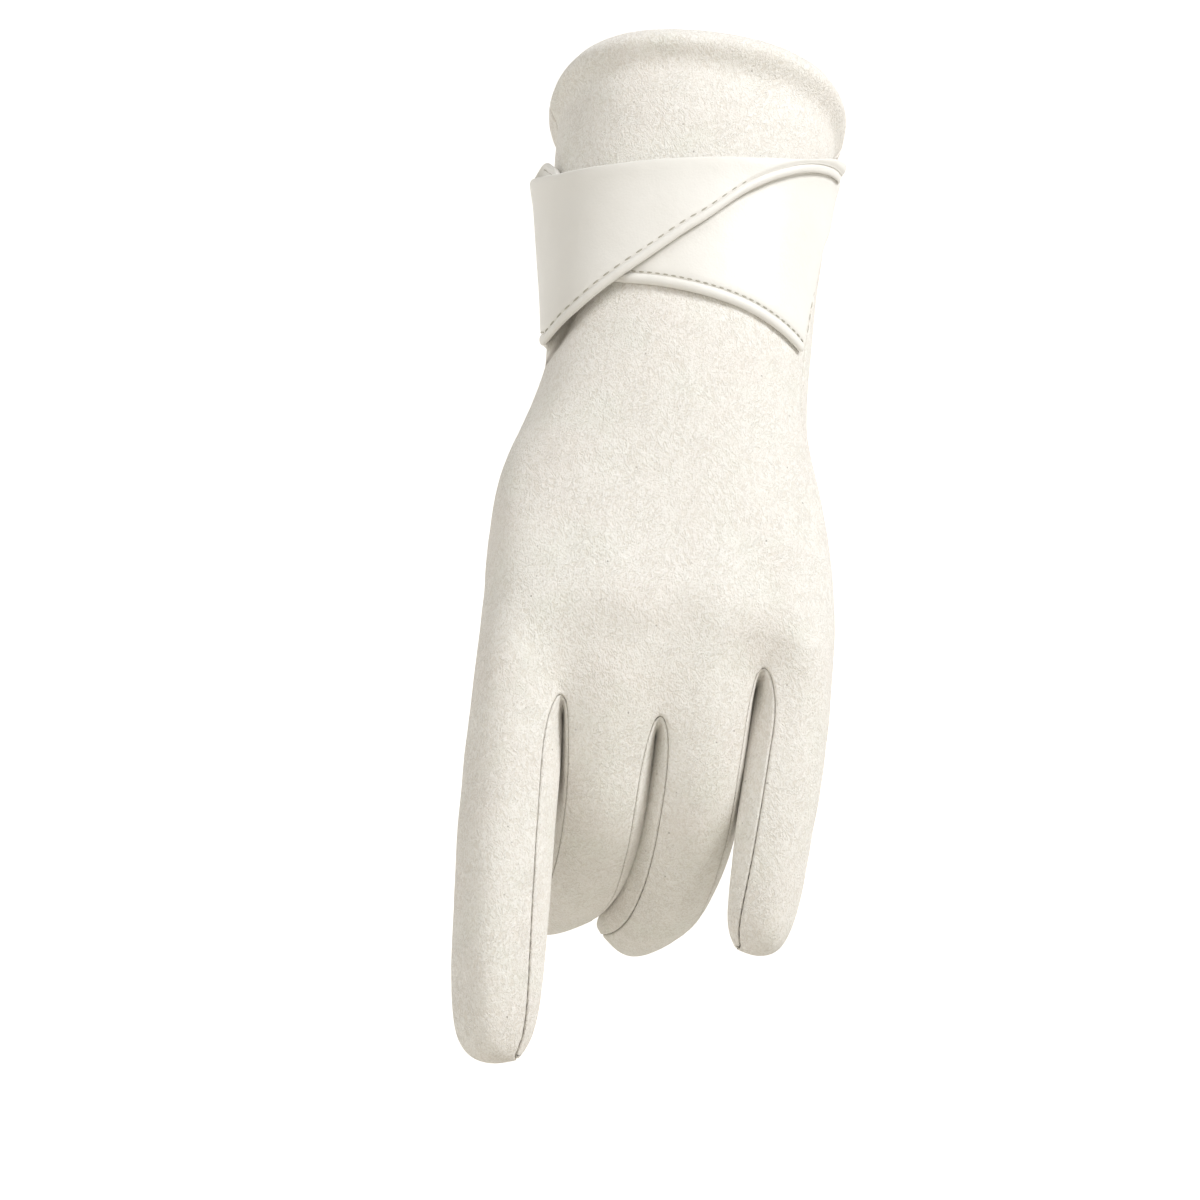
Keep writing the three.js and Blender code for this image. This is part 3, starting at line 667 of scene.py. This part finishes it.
def smooth_skin(cage):
    """Fine skin of the glove: points, four-sided faces and the piece of each face."""
    mesh = bpy.data.meshes.new("skin_cage")
    mesh.from_pydata([tuple(p * MM) for p in cage.points], [], cage.faces)
    for _ in PIECES:
        mesh.materials.append(None)
    mesh.polygons.foreach_set("material_index", cage.pieces)
    beside = edge_faces(cage.faces)
    crease = mesh.attributes.new("crease_edge", "FLOAT", "EDGE")
    for edge in mesh.edges:
        faces = beside[tuple(sorted(edge.vertices))]
        folded = [cage.pieces[f] > THUMB_PIECE for f in faces]
        crease.data[edge.index].value = 1 if len(set(folded)) == 2 else 0
    obj = new_object("skin_cage", mesh)
    subdivision = obj.modifiers.new("smooth", "SUBSURF")
    subdivision.levels = SKIN_LEVELS
    subdivision.render_levels = SKIN_LEVELS
    fine = evaluated_mesh(obj)
    points = read_all(fine.vertices, "co", 3, float)
    faces = read_all(fine.loops, "vertex_index", 1, int)
    pieces = read_all(fine.polygons, "material_index", 1, int)
    drop(obj)
    bpy.data.meshes.remove(fine)
    return points.reshape(-1, 3) / MM, faces.reshape(-1, 4), pieces


def face_normals(points, faces):
    a, b, c, d = (points[faces[:, k]] for k in range(4))
    return np.cross(c - a, d - b)


def point_normals(points, faces):
    flat = face_normals(points, faces)
    normals = np.zeros_like(points)
    for k in range(4):
        np.add.at(normals, faces[:, k], flat)
    return unit(normals)


def wall_at(z):
    start = CUFF_LENGTH - HEM_HEIGHT
    return lerp(WALL, HEM_WALL, smoothstep(z, start - HEM_HEIGHT / 4, start + HEM_HEIGHT / 4))


def inner_skin(points, faces):
    """Inner surface of the skin, one wall in from the outer one."""
    normals = point_normals(points, faces)
    flat = unit(face_normals(points, faces))
    total = np.zeros(len(points))
    count = np.zeros(len(points))
    for k in range(4):
        np.add.at(total, faces[:, k], (flat * normals[faces[:, k]]).sum(1))
        np.add.at(count, faces[:, k], 1)
    mitre = 1 / np.maximum(total / np.maximum(count, 1), LEAST_MITRE)
    return points - normals * (wall_at(points[:, 2]) * mitre)[:, None], normals


def way_to_line(points, start, end):
    """From the nearest place of a line to each point, and how far along the line that place is."""
    a, b = np.array(start, float), np.array(end, float)
    t = np.clip(((points - a) @ (b - a)) / ((b - a) @ (b - a)), 0, 1)
    return points - (a + t[:, None] * (b - a)), t


def on_skin(points, place):
    return points[np.argmin(np.linalg.norm(points - np.array(place, float), axis=1))]


def way_along_skin(points, normals, start, end):
    """The same as way_to_line, between two places on the skin and measured along it."""
    away, t = way_to_line(points, on_skin(points, start), on_skin(points, end))
    deep = (away * normals).sum(1)[:, None]
    return np.where(np.abs(deep) < SNAP_DEPTH, away - normals * deep, away), t


def press_creases(points, normals, creases):
    """Presses in the hollow and then each crease, and gives the skin its soft unevenness."""
    moved = points.copy()
    presses = [(*way_to_line(points, *HOLLOW), *HOLLOW_PRESS)]
    for start, end, half_width, depth in creases:
        presses.append((*way_along_skin(points, normals, start, end), half_width, depth))
    for away, t, half_width, depth in presses:
        fade = np.sin(np.pi * np.clip(t, *CREASE_FADE))
        near = np.linalg.norm(away, axis=1)
        moved -= normals * (depth * fade * np.exp(-((near / half_width) ** 2)))[:, None]
    for size, height in SOFTNESS:
        swell = np.array([noise.noise(Vector(p / size)) for p in points])
        moved += normals * (height * swell)[:, None]
    return moved


def open_edges(faces):
    """Edges that belong to one face only, in the direction that it has them."""
    directed = {side for corners in faces.tolist() for side in sides(corners)}
    return sorted((a, b) for a, b in directed if (b, a) not in directed)


def edge_ways(skin, normals, border, rim_edges):
    """At each seam point the ways across the wall's edge and along the sheet, and the rim's points."""
    points, inner = skin
    wall_ways, sheet_ways, on_rim = {}, {}, set()
    for a, b in border:
        if (min(a, b), max(a, b)) in rim_edges:
            on_rim.update((a, b))
            continue
        along = points[b] - points[a]
        inward = inner[a] + inner[b] - points[a] - points[b]
        across_wall = unit(np.cross(along, inward))
        across_sheet = unit(np.cross(normals[a] + normals[b], along))
        for v in (a, b):
            wall_ways[v] = wall_ways.get(v, 0) + across_wall
            sheet_ways[v] = sheet_ways.get(v, 0) + across_sheet
    return wall_ways, sheet_ways, on_rim


def room_beside(points, faces, sheet_ways):
    """How far the nearest point that is on no seam lies from each point of a seam."""
    room = {}
    for corners in faces.tolist():
        for v, *neighbours in zip(corners, [*corners[1:], corners[0]], [corners[-1], *corners[:-1]]):
            if v in sheet_ways:
                way = unit(sheet_ways[v])
                for n in neighbours:
                    reach = float((points[n] - points[v]) @ way)
                    if n not in sheet_ways and reach > 0:
                        room[v] = min(room.get(v, math.inf), reach)
    return room


def mitred(ways, v):
    """The step at a corner that moves both edges beside it by one; none away from the seams."""
    if v not in ways:
        return np.zeros(3)
    return ways[v] * 2 / max(ways[v] @ ways[v], LEAST_MITRE)


def seam_profile(p, normal, wall_step, away):
    """Places from the outer skin down an edge that is rolled in, clear of the piece beside it."""
    deep = ROLL * (1 + PUCKER * noise.noise(Vector(p / PUCKER_LENGTH)))
    places = []
    for step, angle in zip(away, ROLL_ANGLES):
        place = p + step - normal * deep * (1 - math.cos(angle))
        gone = float((place - p) @ wall_step) / max(float(wall_step @ wall_step), 1e-9)
        places.append(place + wall_step * max(SEAM_HALF_GAP - gone, 0))
    return places


def rim_profile(p, q, away):
    """Places from the outer skin over the round rim."""
    half = (p - q) / 2
    rise = vec(0, 0, np.linalg.norm(half) * RIM_CROWN)
    places = []
    for k, step in enumerate(away):
        turn = math.radians(180 * k / len(away))
        places.append((p + q) / 2 + half * math.cos(turn) + rise * math.sin(turn) + step)
    return places


def sewn_piece(name, skin, faces, rim_edges):
    """One piece of suede as a closed wall, its edges rolled in at the seams and round at the rim."""
    points, inner = skin
    normals = point_normals(points, faces)
    border = open_edges(faces)
    wall_ways, sheet_ways, on_rim = edge_ways(skin, normals, border, rim_edges)
    room = room_beside(points, faces, sheet_ways)
    used, local = np.unique(faces, return_inverse=True)
    local = local.reshape(faces.shape).tolist()
    number = {int(v): i for i, v in enumerate(used)}
    outer, inside = points[used].copy(), inner[used].copy()
    edge_points = sorted({v for edge in border for v in edge})
    profiles = []
    for v in edge_points:
        p, q = points[v], inner[v]
        wall_step, sheet_step = mitred(wall_ways, v), mitred(sheet_ways, v)
        roll = min(ROLL, ROLL_SHARE * room.get(v, math.inf))
        away = [sheet_step * (SEAM_HALF_GAP + roll * (1 - math.sin(angle))) for angle in ROLL_ANGLES]
        if v in on_rim:
            profile = rim_profile(p, q, away)
        else:
            profile = seam_profile(p, normals[v], wall_step, away)
        outer[number[v]] = profile[0]
        inside[number[v]] = q + wall_step * SEAM_HALF_GAP
        profiles.append(profile)
    rings = list(zip(*profiles))[1:]
    verts = [*outer, *(place for ring in rings for place in ring), *inside]
    first_inner = len(verts) - len(inside)
    ring_number = {v: i for i, v in enumerate(edge_points)}

    def at(ring, v):
        if ring == 0:
            return number[v]
        if ring == len(ROLL_ANGLES):
            return first_inner + number[v]
        return len(outer) + (ring - 1) * len(edge_points) + ring_number[v]

    polys = [tuple(corners) for corners in local]
    polys += [tuple(first_inner + c for c in reversed(corners)) for corners in local]
    for a, b in border:
        for k in range(len(ROLL_ANGLES)):
            polys.append((at(k, b), at(k, a), at(k + 1, a), at(k + 1, b)))
    mesh = smooth_mesh(name, [tuple(p * MM) for p in verts], polys)
    # Painted shade, stored per point: dark round the hollow under the upper band, and darker the further
    # each seam edge rolls in; none over the rim
    shade = mesh.attributes.new("painted_shade", "FLOAT", "POINT")
    values = np.zeros(len(verts))
    near = np.linalg.norm(way_to_line(outer, *HOLLOW)[0], axis=1)
    values[: len(outer)] = HOLLOW_DARK * np.exp(-((near / HOLLOW_SHADE) ** 2))
    for v in edge_points:
        for k in range(1, len(ROLL_ANGLES)):
            values[at(k, v)] = 0 if v in on_rim else k / (len(ROLL_ANGLES) - 1)
    shade.data.foreach_set("value", values)
    return new_object(name, mesh)


def read_column(rows, across, column):
    """A band's table read between its rows, along a smooth curve."""
    i = next((k for k, row in enumerate(rows) if row[0] >= across), len(rows) - 1)
    i = min(max(i, 1), len(rows) - 1)
    before, after = rows[i - 1], rows[i]

    def slope(k):
        last, following = rows[max(k - 1, 0)], rows[min(k + 1, len(rows) - 1)]
        return (following[column] - last[column]) / (following[0] - last[0])

    span = after[0] - before[0]
    t = (across - before[0]) / span
    leaving = t * (1 - t) * (1 - t) * span * slope(i - 1)
    arriving = t * t * (t - 1) * span * slope(i)
    return lerp(before[column], after[column], t * t * (3 - 2 * t)) + leaving + arriving


def over_cuff(across, z, off):
    """A point off the front of the cuff, at a share of the way from one side seam to the other."""
    return cuff_point(lerp(INDEX_SEAM - COLUMNS, LITTLE_SEAM, across), z, lambda half: half + off)


def band_height(rows, across, column):
    return BAND_TOP - read_column(rows, across, column) * BAND_HEIGHT


class BandSection:
    """A band at one place round the cuff: its finished edges, and how its leather stands there."""

    def __init__(self, rows, across):
        start, end = rows[0][0], rows[-1][0]
        self.rows = rows
        self.across = across
        self.low = band_height(rows, across, LOW)
        self.high = band_height(rows, across, HIGH)
        first, last = max(across - SLOPE_STEP, start), min(across + SLOPE_STEP, end)
        a = over_cuff(first, band_height(rows, first, LOW), 0)
        b = over_cuff(last, band_height(rows, last, LOW), 0)
        # how much taller a strip of one width looks on the slanting lower edge
        self.slant = np.linalg.norm(b - a) / math.hypot(b[0] - a[0], b[1] - a[1])
        begun, left = across - start, end - across
        held = lerp(SEWN_DOWN, 1, smoothstep(begun, *PINCH_START) * smoothstep(left, *PINCH_END))
        self.off_high = read_column(rows, across, OFF_HIGH) * held
        self.off_low = read_column(rows, across, OFF_LOW) * held
        # one along the band, falling to nothing at its ends as a quarter circle
        from_end = min(min(begun, left) / END_CAP, 1)
        self.round = math.sqrt(max(1 - (1 - from_end) ** 2, THINNEST_ROUND))

    def off(self, up):
        """How far the leather's inner side stands off the suede, at a share of the way up."""
        return BAND_CLEARANCE + lerp(self.off_low, self.off_high, up) * CROSSING_HEIGHT

    def place(self, z, off):
        """The lower band's end is cut on a slant, so that a strip of the side seam shows beside it."""
        across = self.across
        if self.rows is UNDER_BAND:
            cut = smoothstep(across, SLANT_FROM, 1) * smoothstep(BAND_TOP - z, *SLANT_HEIGHTS)
            across = across - END_SLANT * cut
        return over_cuff(across, z, off)


def band_sections(rows, start, end, steps=BAND_STEPS):
    return [BandSection(rows, lerp(start, end, i / steps)) for i in range(steps + 1)]


def grid_piece(name, grid):
    """A tube of quads from a grid of points, round its second axis, with both ends closed."""
    rows, around = len(grid), len(grid[0])
    verts = [tuple(p * MM) for row in grid for p in row]
    polys = []
    for i in range(rows - 1):
        for k in range(around):
            a, b = i * around + k, i * around + (k + 1) % around
            polys.append((a, a + around, b + around, b))
    last = (rows - 1) * around
    for k in range(around // 2 - 1):
        low, high = k, around - 1 - k
        polys.append((low, low + 1, high - 1, high))
        polys.append((last + high, last + high - 1, last + low + 1, last + low))
    return new_object(name, smooth_mesh(name, verts, polys))


def leather_band(name, rows):
    """A band of leather with a soft fold along its upper edge and a turned lower edge."""
    grid = []
    for section in band_sections(rows, rows[0][0], rows[-1][0]):
        low = section.low + (BINDING_WIDTH - BINDING_LAP) * section.slant
        high = section.high
        height = high - low
        cap = max(section.round, THINNEST_LEATHER)
        power = EAR_POWER if rows is UNDER_BAND and section.across < EAR else 1
        face, back = [], []
        for j in range(BAND_ROWS + 1):
            up = j / BAND_ROWS
            z, off = lerp(low, high, up), section.off(up**power)
            swell = FOLD_SWELL * math.exp(-(((1 - up) * height / FOLD_REACH) ** 2))
            turn_in = GROOVE_DEPTH * math.exp(-((up * height / GROOVE_WIDTH) ** 2))
            face.append((z, off + (LEATHER + swell - turn_in) * cap))
            back.append((z, off))
        half = (LEATHER + FOLD_SWELL) / 2 * cap
        for k in range(1, FOLD_STEPS):
            angle = math.pi * k / FOLD_STEPS
            z = high + math.sin(angle) * half * FOLD_FLATNESS
            face.append((z, section.off(1) + half + half * math.cos(angle)))
        grid.append([section.place(z, off) for z, off in face + back[::-1]])
    return grid_piece(name, grid)


def rolled_binding(name, rows):
    grid = []
    for section in band_sections(rows, rows[0][0], rows[-1][0]):
        fade = lerp(1, ROLL_LEFT, smoothstep(section.across, *ROLL_FADE)) if rows is OVER_BAND else 1
        thick = ROLL_THICKNESS * fade
        middle = max(section.off(0) + LEATHER / 2 - ROLL_INSET, BAND_CLEARANCE + thick / 2)
        ring = []
        for k in range(BINDING_SIDES):
            angle = 2 * math.pi * k / BINDING_SIDES
            z = section.low + (1 - math.cos(angle) * section.round) / 2 * BINDING_WIDTH * section.slant
            ring.append(section.place(z, middle + math.sin(angle) * section.round * thick / 2))
        grid.append(ring)
    return grid_piece(name, grid)


def feed(tree, node, inputs):
    """Gives a node's inputs their values, or what another node puts out."""
    for key, value in inputs.items():
        if isinstance(value, bpy.types.NodeSocket):
            tree.links.new(value, node.inputs[key])
        else:
            node.inputs[key].default_value = value


def add_node(tree, kind, inputs=(), **settings):
    node = tree.nodes.new(kind)
    for key, value in settings.items():
        setattr(node, key, value)
    feed(tree, node, dict(inputs))
    return node


def new_material(name):
    material = bpy.data.materials.new(name)
    material.use_nodes = True
    tree = material.node_tree
    return material, tree, tree.nodes["Principled BSDF"]


def mapped(tree, rotation=(0, 0, 0), scale=(1, 1, 1)):
    """Object coordinates in millimetres, turned and then stretched."""
    place = add_node(tree, "ShaderNodeTexCoord").outputs["Object"]
    turn = {"Vector": place, "Rotation": [math.radians(a) for a in rotation]}
    turned = add_node(tree, "ShaderNodeMapping", turn).outputs["Vector"]
    stretch = {"Vector": turned, "Scale": [s / MM for s in scale]}
    return add_node(tree, "ShaderNodeMapping", stretch).outputs["Vector"]


def noise_of(tree, vector, scale, detail, roughness, distortion=0):
    inputs = {"Vector": vector, "Scale": scale, "Detail": detail, "Roughness": roughness}
    return add_node(tree, "ShaderNodeTexNoise", {**inputs, "Distortion": distortion}).outputs["Fac"]


def cells_of(tree, vector, scale):
    return add_node(tree, "ShaderNodeTexVoronoi", {"Vector": vector, "Scale": scale}).outputs


def range_of(tree, value, found, wanted):
    """A value brought from the range where it is found to the one that is wanted."""
    inputs = {"Value": value, "From Min": found[0], "From Max": found[1]}
    inputs.update({"To Min": wanted[0], "To Max": wanted[1]})
    return add_node(tree, "ShaderNodeMapRange", inputs).outputs["Result"]


def maths(tree, operation, a, b=0):
    return add_node(tree, "ShaderNodeMath", {0: a, 1: b}, operation=operation).outputs["Value"]


# Places of a mix node's sockets: factor, the two values and the result
MIX_SOCKETS = {"FLOAT": (0, 2, 3, 0), "RGBA": (0, 6, 7, 2)}


def blend(tree, factor, a, b, kind="RGBA"):
    *inlets, outlet = MIX_SOCKETS[kind]
    inputs = dict(zip(inlets, (factor, a, b)))
    return add_node(tree, "ShaderNodeMix", inputs, data_type=kind).outputs[outlet]


def mottled(tree, value, a, b):
    return blend(tree, range_of(tree, value, (0.3, 0.7), (0, 1)), a, b)


def bump_of(tree, height, distance, strength, **before):
    inputs = {"Height": height, "Strength": strength, "Distance": distance * MM, **before}
    return add_node(tree, "ShaderNodeBump", inputs).outputs["Normal"]


def nap_height(tree, even):
    """Short curling hairs in two ways, one taking over from the other in patches."""
    ways = []
    for turn, across, along in NAP_WAYS:
        turned = mapped(tree, (0, turn, 0), (across, across, along))
        strokes = noise_of(tree, turned, scale=1, detail=2, roughness=0.5, distortion=0.9)
        away = maths(tree, "ABSOLUTE", maths(tree, "SUBTRACT", strokes, 0.5))
        ways.append(range_of(tree, away, (0, NAP_HALF_WIDTH), (1, 0)))
    patches = noise_of(tree, even, scale=0.12, detail=2, roughness=0.5)
    return blend(tree, range_of(tree, patches, (0.42, 0.56), (0, 1)), *ways, kind="FLOAT")


def speck_share(tree, even):
    """Small specks in some of the cells, which are about 4 mm wide."""
    cells = cells_of(tree, even, scale=0.26)
    spot = range_of(tree, cells["Distance"], (0.04, 0.075), (1, 0))
    red = add_node(tree, "ShaderNodeSeparateColor", {"Color": cells["Color"]}).outputs["Red"]
    return maths(tree, "MULTIPLY", spot, range_of(tree, red, (0.55, 0.6), (0, 0.6)))


def suede_material(name):
    """Short curling nap with fine grain, faint mottling, rare dark specks, and painted shade down the seams
    and in the hollow under the upper band.
    """
    material, tree, shader = new_material(name)
    even = mapped(tree)
    hairs = nap_height(tree, even)
    grain = noise_of(tree, even, scale=2.3, detail=2, roughness=0.65)
    clouds = noise_of(tree, even, scale=0.055, detail=3, roughness=0.5)
    tint = noise_of(tree, even, scale=0.09, detail=2, roughness=0.5)
    # Share of painted shade stored on the points: down the rolled seam edges and round the hollow under the
    # upper band
    edge = add_node(tree, "ShaderNodeAttribute", attribute_name="painted_shade").outputs["Fac"]
    body = mottled(tree, clouds, SUEDE_PINK, SUEDE_LIGHT)
    for share, colour in (
        (range_of(tree, tint, (0.5, 0.75), (0, 0.6)), SUEDE_GREEN),
        (range_of(tree, hairs, (0, 0.55), (NAP_DEPTH, 0)), NAP_SHADE),
        (range_of(tree, hairs, (0.6, 1), (0, 0.5)), NAP_LIGHT),
        (range_of(tree, grain, (0.3, 0.48), (0.36, 0)), NAP_SHADE),
        (speck_share(tree, even), SPECK),
        # Painted shade from the points, dark brown
        (range_of(tree, edge, (0.35, 1), (0, 0.8)), PAINTED_SHADE_COLOUR),
    ):
        body = blend(tree, share, body, colour)
    rough = bump_of(tree, hairs, distance=0.14, strength=0.68)
    rough = bump_of(tree, grain, distance=0.3, strength=0.6, Normal=rough)
    sheen = {"Sheen Weight": 0.3, "Sheen Roughness": 0.55, "Sheen Tint": (1, 0.975, 0.93, 1)}
    finish = {"Roughness": 0.95, "Specular IOR Level": 0.2, **sheen}
    feed(tree, shader, {"Base Color": body, "Normal": rough, **finish})
    return material


def leather_material(name):
    """Smooth dressed leather: faint pores, a soft satin finish."""
    material, tree, shader = new_material(name)
    even = mapped(tree)
    clouds = noise_of(tree, even, scale=0.05, detail=3, roughness=0.5)
    body = mottled(tree, clouds, LEATHER_WARM, LEATHER_LIGHT)
    wear = noise_of(tree, even, scale=0.4, detail=3, roughness=0.6)
    finish = {"Roughness": range_of(tree, wear, (0.3, 0.7), (0.42, 0.52)), "Specular IOR Level": 0.4}
    pores = cells_of(tree, even, scale=1.9)["Distance"]
    soft = noise_of(tree, even, scale=0.22, detail=3, roughness=0.5)
    surface = bump_of(tree, pores, distance=0.08, strength=0.25)
    surface = bump_of(tree, soft, distance=0.6, strength=0.25, Normal=surface)
    feed(tree, shader, {"Base Color": body, "Normal": surface, **finish})
    return material


def thread_material(name):
    material, tree, shader = new_material(name)
    twist = noise_of(tree, mapped(tree), scale=6, detail=2, roughness=0.6)
    colour = mottled(tree, twist, THREAD_DARK, THREAD_LIGHT)
    surface = bump_of(tree, twist, distance=0.1, strength=0.5)
    feed(tree, shader, {"Base Color": colour, "Normal": surface, "Roughness": 0.7})
    return material


def stitch_tree():
    """Stitches along a line, by the pitch, length and thickness of a stitch."""
    tree = bpy.data.node_groups.new("stitch row", "GeometryNodeTree")
    new_socket = tree.interface.new_socket
    new_socket("Geometry", in_out="INPUT", socket_type="NodeSocketGeometry")
    for label in ("Pitch", "Length", "Thickness"):
        new_socket(label, in_out="INPUT", socket_type="NodeSocketFloat")
    new_socket("Geometry", in_out="OUTPUT", socket_type="NodeSocketGeometry")

    def made(kind, inputs, output, **settings):
        return add_node(tree, kind, inputs, **settings).outputs[output]

    given = add_node(tree, "NodeGroupInput").outputs
    curve = made("GeometryNodeMeshToCurve", {"Mesh": given["Geometry"]}, "Curve")
    pitch = {"Curve": curve, "Length": given["Pitch"]}
    points = add_node(tree, "GeometryNodeCurveToPoints", pitch, mode="LENGTH").outputs
    thick, long = given["Thickness"], given["Length"]
    size = made("ShaderNodeCombineXYZ", {"X": thick, "Y": thick, "Z": long}, "Vector")
    ball = {"Segments": 8, "Rings": 6, "Radius": 0.5}
    stitch = made("GeometryNodeMeshUVSphere", ball, "Mesh")
    stitch = made("GeometryNodeTransform", {"Geometry": stitch, "Scale": size}, "Geometry")
    turn = made("FunctionNodeAlignRotationToVector", {"Vector": points["Tangent"]}, "Rotation", axis="Z")
    laid = {"Points": points["Points"], "Instance": stitch, "Rotation": turn}
    laid = made("GeometryNodeInstanceOnPoints", laid, "Instances")
    real = made("GeometryNodeRealizeInstances", {"Geometry": laid}, "Geometry")
    add_node(tree, "NodeGroupOutput", {"Geometry": real})
    return tree


def stitch_row(name, lines, tree, size):
    verts, edges = [], []
    for line in lines:
        edges += [(len(verts) + k, len(verts) + k + 1) for k in range(len(line) - 1)]
        verts += [tuple(p * MM) for p in line]
    mesh = bpy.data.meshes.new(name)
    mesh.from_pydata(verts, edges, [])
    guide = new_object(name + "_guide", mesh)
    modifier = guide.modifiers.new("stitches", "NODES")
    modifier.node_group = tree
    values = dict(zip(("Pitch", "Length", "Thickness"), size))
    for item in tree.interface.items_tree:
        if item.in_out == "INPUT" and item.name in values:
            modifier[item.identifier] = values[item.name] * MM
    made = evaluated_mesh(guide)
    made.name = name
    drop(guide)
    made.polygons.foreach_set("use_smooth", [True] * len(made.polygons))
    return new_object(name, made)


def groove_line(rows, last):
    """Line of the stitches above a binding, over the turned edge of the leather."""
    line = []
    for section in band_sections(rows, rows[0][0] + STITCHES_BEGIN, last, LINE_STEPS):
        z = section.low + (BINDING_WIDTH + STITCHES_ABOVE) * section.slant
        line.append(section.place(z, section.off(STITCHES_UP) + LEATHER - STITCH_DEPTH))
    return line


def ear_line():
    """Line of the small stitches below the top of the lower band's ear."""
    line = []
    for section in band_sections(UNDER_BAND, *EAR_STITCHES, EAR_STEPS):
        off = section.off(EAR_UP) + LEATHER + FOLD_SWELL - EAR_INSET
        line.append(section.place(section.high - EAR_BELOW, off))
    return line


def side_line():
    """Line of the stitches that show on the side seam beside the lower band's end."""
    shares = [k / SIDE_STEPS for k in range(SIDE_STEPS + 1)]
    return [over_cuff(lerp(*SIDE_ACROSS, share), lerp(*SIDE_HEIGHTS, share), SIDE_OFF) for share in shares]


def seam_lines(points, normals, faces, pieces):
    """Lines along the seams between pieces, a little below the surface."""
    joined = {}
    for (a, b), (f, *others) in edge_faces(faces.tolist()).items():
        if others and pieces[f] != pieces[others[0]]:
            key = tuple(sorted((int(pieces[f]), int(pieces[others[0]]))))
            joined.setdefault(key, []).append((a, b))
    lines = []
    for key in sorted(joined):
        near = {}
        for a, b in joined[key]:
            near.setdefault(a, []).append(b)
            near.setdefault(b, []).append(a)
        left = set(joined[key])
        for start in sorted(v for v in near if len(near[v]) == 1) + sorted(near):
            chain = [start]
            following = [start]
            while following:
                here = chain[-1]
                following = [n for n in near[here] if (min(here, n), max(here, n)) in left][:1]
                left -= {(min(here, n), max(here, n)) for n in following}
                chain += following
            if len(chain) >= SHORTEST_SEAM:
                lines.append([points[v] - normals[v] * SEAM_STITCH_DEPTH for v in chain])
    return lines


def place_camera():
    camera = new_object("camera", bpy.data.cameras.new("camera"))
    camera.data.lens = 66
    camera.data.sensor_width = 36
    s, c = math.sin(CAMERA_TILT), math.cos(CAMERA_TILT)
    forward, upright, sideways = Vector((0, c, s)), Vector((0, -s, c)), Vector((1, 0, 0))
    s, c = math.sin(CAMERA_ROLL), math.cos(CAMERA_ROLL)
    axes = Matrix((sideways * c + upright * s, upright * c - sideways * s, -forward)).transposed()
    camera.matrix_world = Matrix.Translation(CAMERA_TARGET - forward * CAMERA_DISTANCE) @ axes.to_4x4()
    bpy.context.scene.camera = camera


def light_the_studio():
    world = bpy.data.worlds.new("studio")
    world.use_nodes = True
    sky = world.node_tree.nodes["Background"]
    feed(world.node_tree, sky, {"Color": (1, 0.99, 0.97, 1), "Strength": 0.33})
    bpy.context.scene.world = world
    for name, place, target, size, power, colour in LIGHTS:
        light = bpy.data.lights.new(name, "AREA")
        light.shape = "DISK"
        light.size = size
        light.energy = power
        light.color = colour
        obj = new_object(name, light)
        obj.location = place
        obj.rotation_euler = (Vector(target) - Vector(place)).to_track_quat("-Z", "Y").to_euler()
    bpy.context.scene.view_settings.view_transform = "Standard"


def backdrop():
    """Pale paper that runs from the floor up behind the glove."""
    profile = [(y, FLOOR) for y in PAPER_ON_FLOOR]
    for k in range(1, PAPER_BEND_STEPS + 1):
        a = math.pi / 2 * k / PAPER_BEND_STEPS
        profile.append((PAPER_BEND_AT + PAPER_BEND * math.sin(a), FLOOR + PAPER_BEND * (1 - math.cos(a))))
    profile += [(PAPER_BEND_AT + PAPER_BEND, z) for z in PAPER_UPRIGHT]
    verts = [(x, y, z) for y, z in profile for x in (-PAPER_HALF_WIDTH, PAPER_HALF_WIDTH)]
    faces = [(2 * k, 2 * k + 1, 2 * k + 3, 2 * k + 2) for k in range(len(profile) - 1)]
    mesh = smooth_mesh("backdrop", verts, faces)
    material, tree, shader = new_material("paper")
    place = add_node(tree, "ShaderNodeTexCoord").outputs["Object"]
    height = add_node(tree, "ShaderNodeSeparateXYZ", {"Vector": place}).outputs["Z"]
    glow = range_of(tree, height, (FLOOR, FLOOR + GLOW_RISE), GLOW)
    feed(tree, shader, {"Base Color": (0.66, 0.63, 0.57, 1), "Roughness": 0.9})
    feed(tree, shader, {"Emission Color": (1, 1, 1, 1), "Emission Strength": glow})
    mesh.materials.append(material)
    new_object("backdrop", mesh)


def attach(obj, slot, material, *nodes):
    obj.data.materials.clear()
    obj.data.materials.append(material)
    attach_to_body(obj, "root")
    if nodes:
        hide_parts(*nodes)


place_camera()
light_the_studio()
backdrop()

cage = draft_skin()
points, faces, pieces = smooth_skin(cage)
inner, normals = inner_skin(points, faces)
points = press_creases(points, normals, CREASES + cage.folds)
inner, normals = inner_skin(points, faces)
rim_edges = {edge for edge, beside in edge_faces(faces.tolist()).items() if len(beside) == 1}

suede = suede_material("suede")
leather = leather_material("smooth leather")
thread = thread_material("thread")

for index, piece in enumerate(PIECES):
    obj = sewn_piece("suede_" + piece, (points, inner), faces[pieces == index], rim_edges)
    attach(obj, "suede_back" if index == BACK else "suede_palm", suede, piece)

for name, rows in (("over", OVER_BAND), ("under", UNDER_BAND)):
    attach(leather_band("leather_band_" + name, rows), "smooth_leather", leather, "band_" + name)
    attach(rolled_binding("rolled_binding_" + name, rows), "leather_binding", leather, "binding_" + name)

stitches = stitch_tree()
for name, slot, size, lines in (
    ("band_over", "leather_binding", OVER_STITCH, [groove_line(OVER_BAND, OVER_STITCHES_END)]),
    ("band_under", "leather_binding", UNDER_STITCH, [groove_line(UNDER_BAND, UNDER_STITCHES_END)]),
    ("ear", "leather_binding", EAR_STITCH, [ear_line()]),
    ("side_seam", "suede_back", SIDE_STITCH, [side_line()]),
    ("seams", "suede_palm", SEAM_STITCH, seam_lines(points, normals, faces, pieces)),
):
    attach(stitch_row("stitches_" + name, lines, stitches, size), slot, thread)
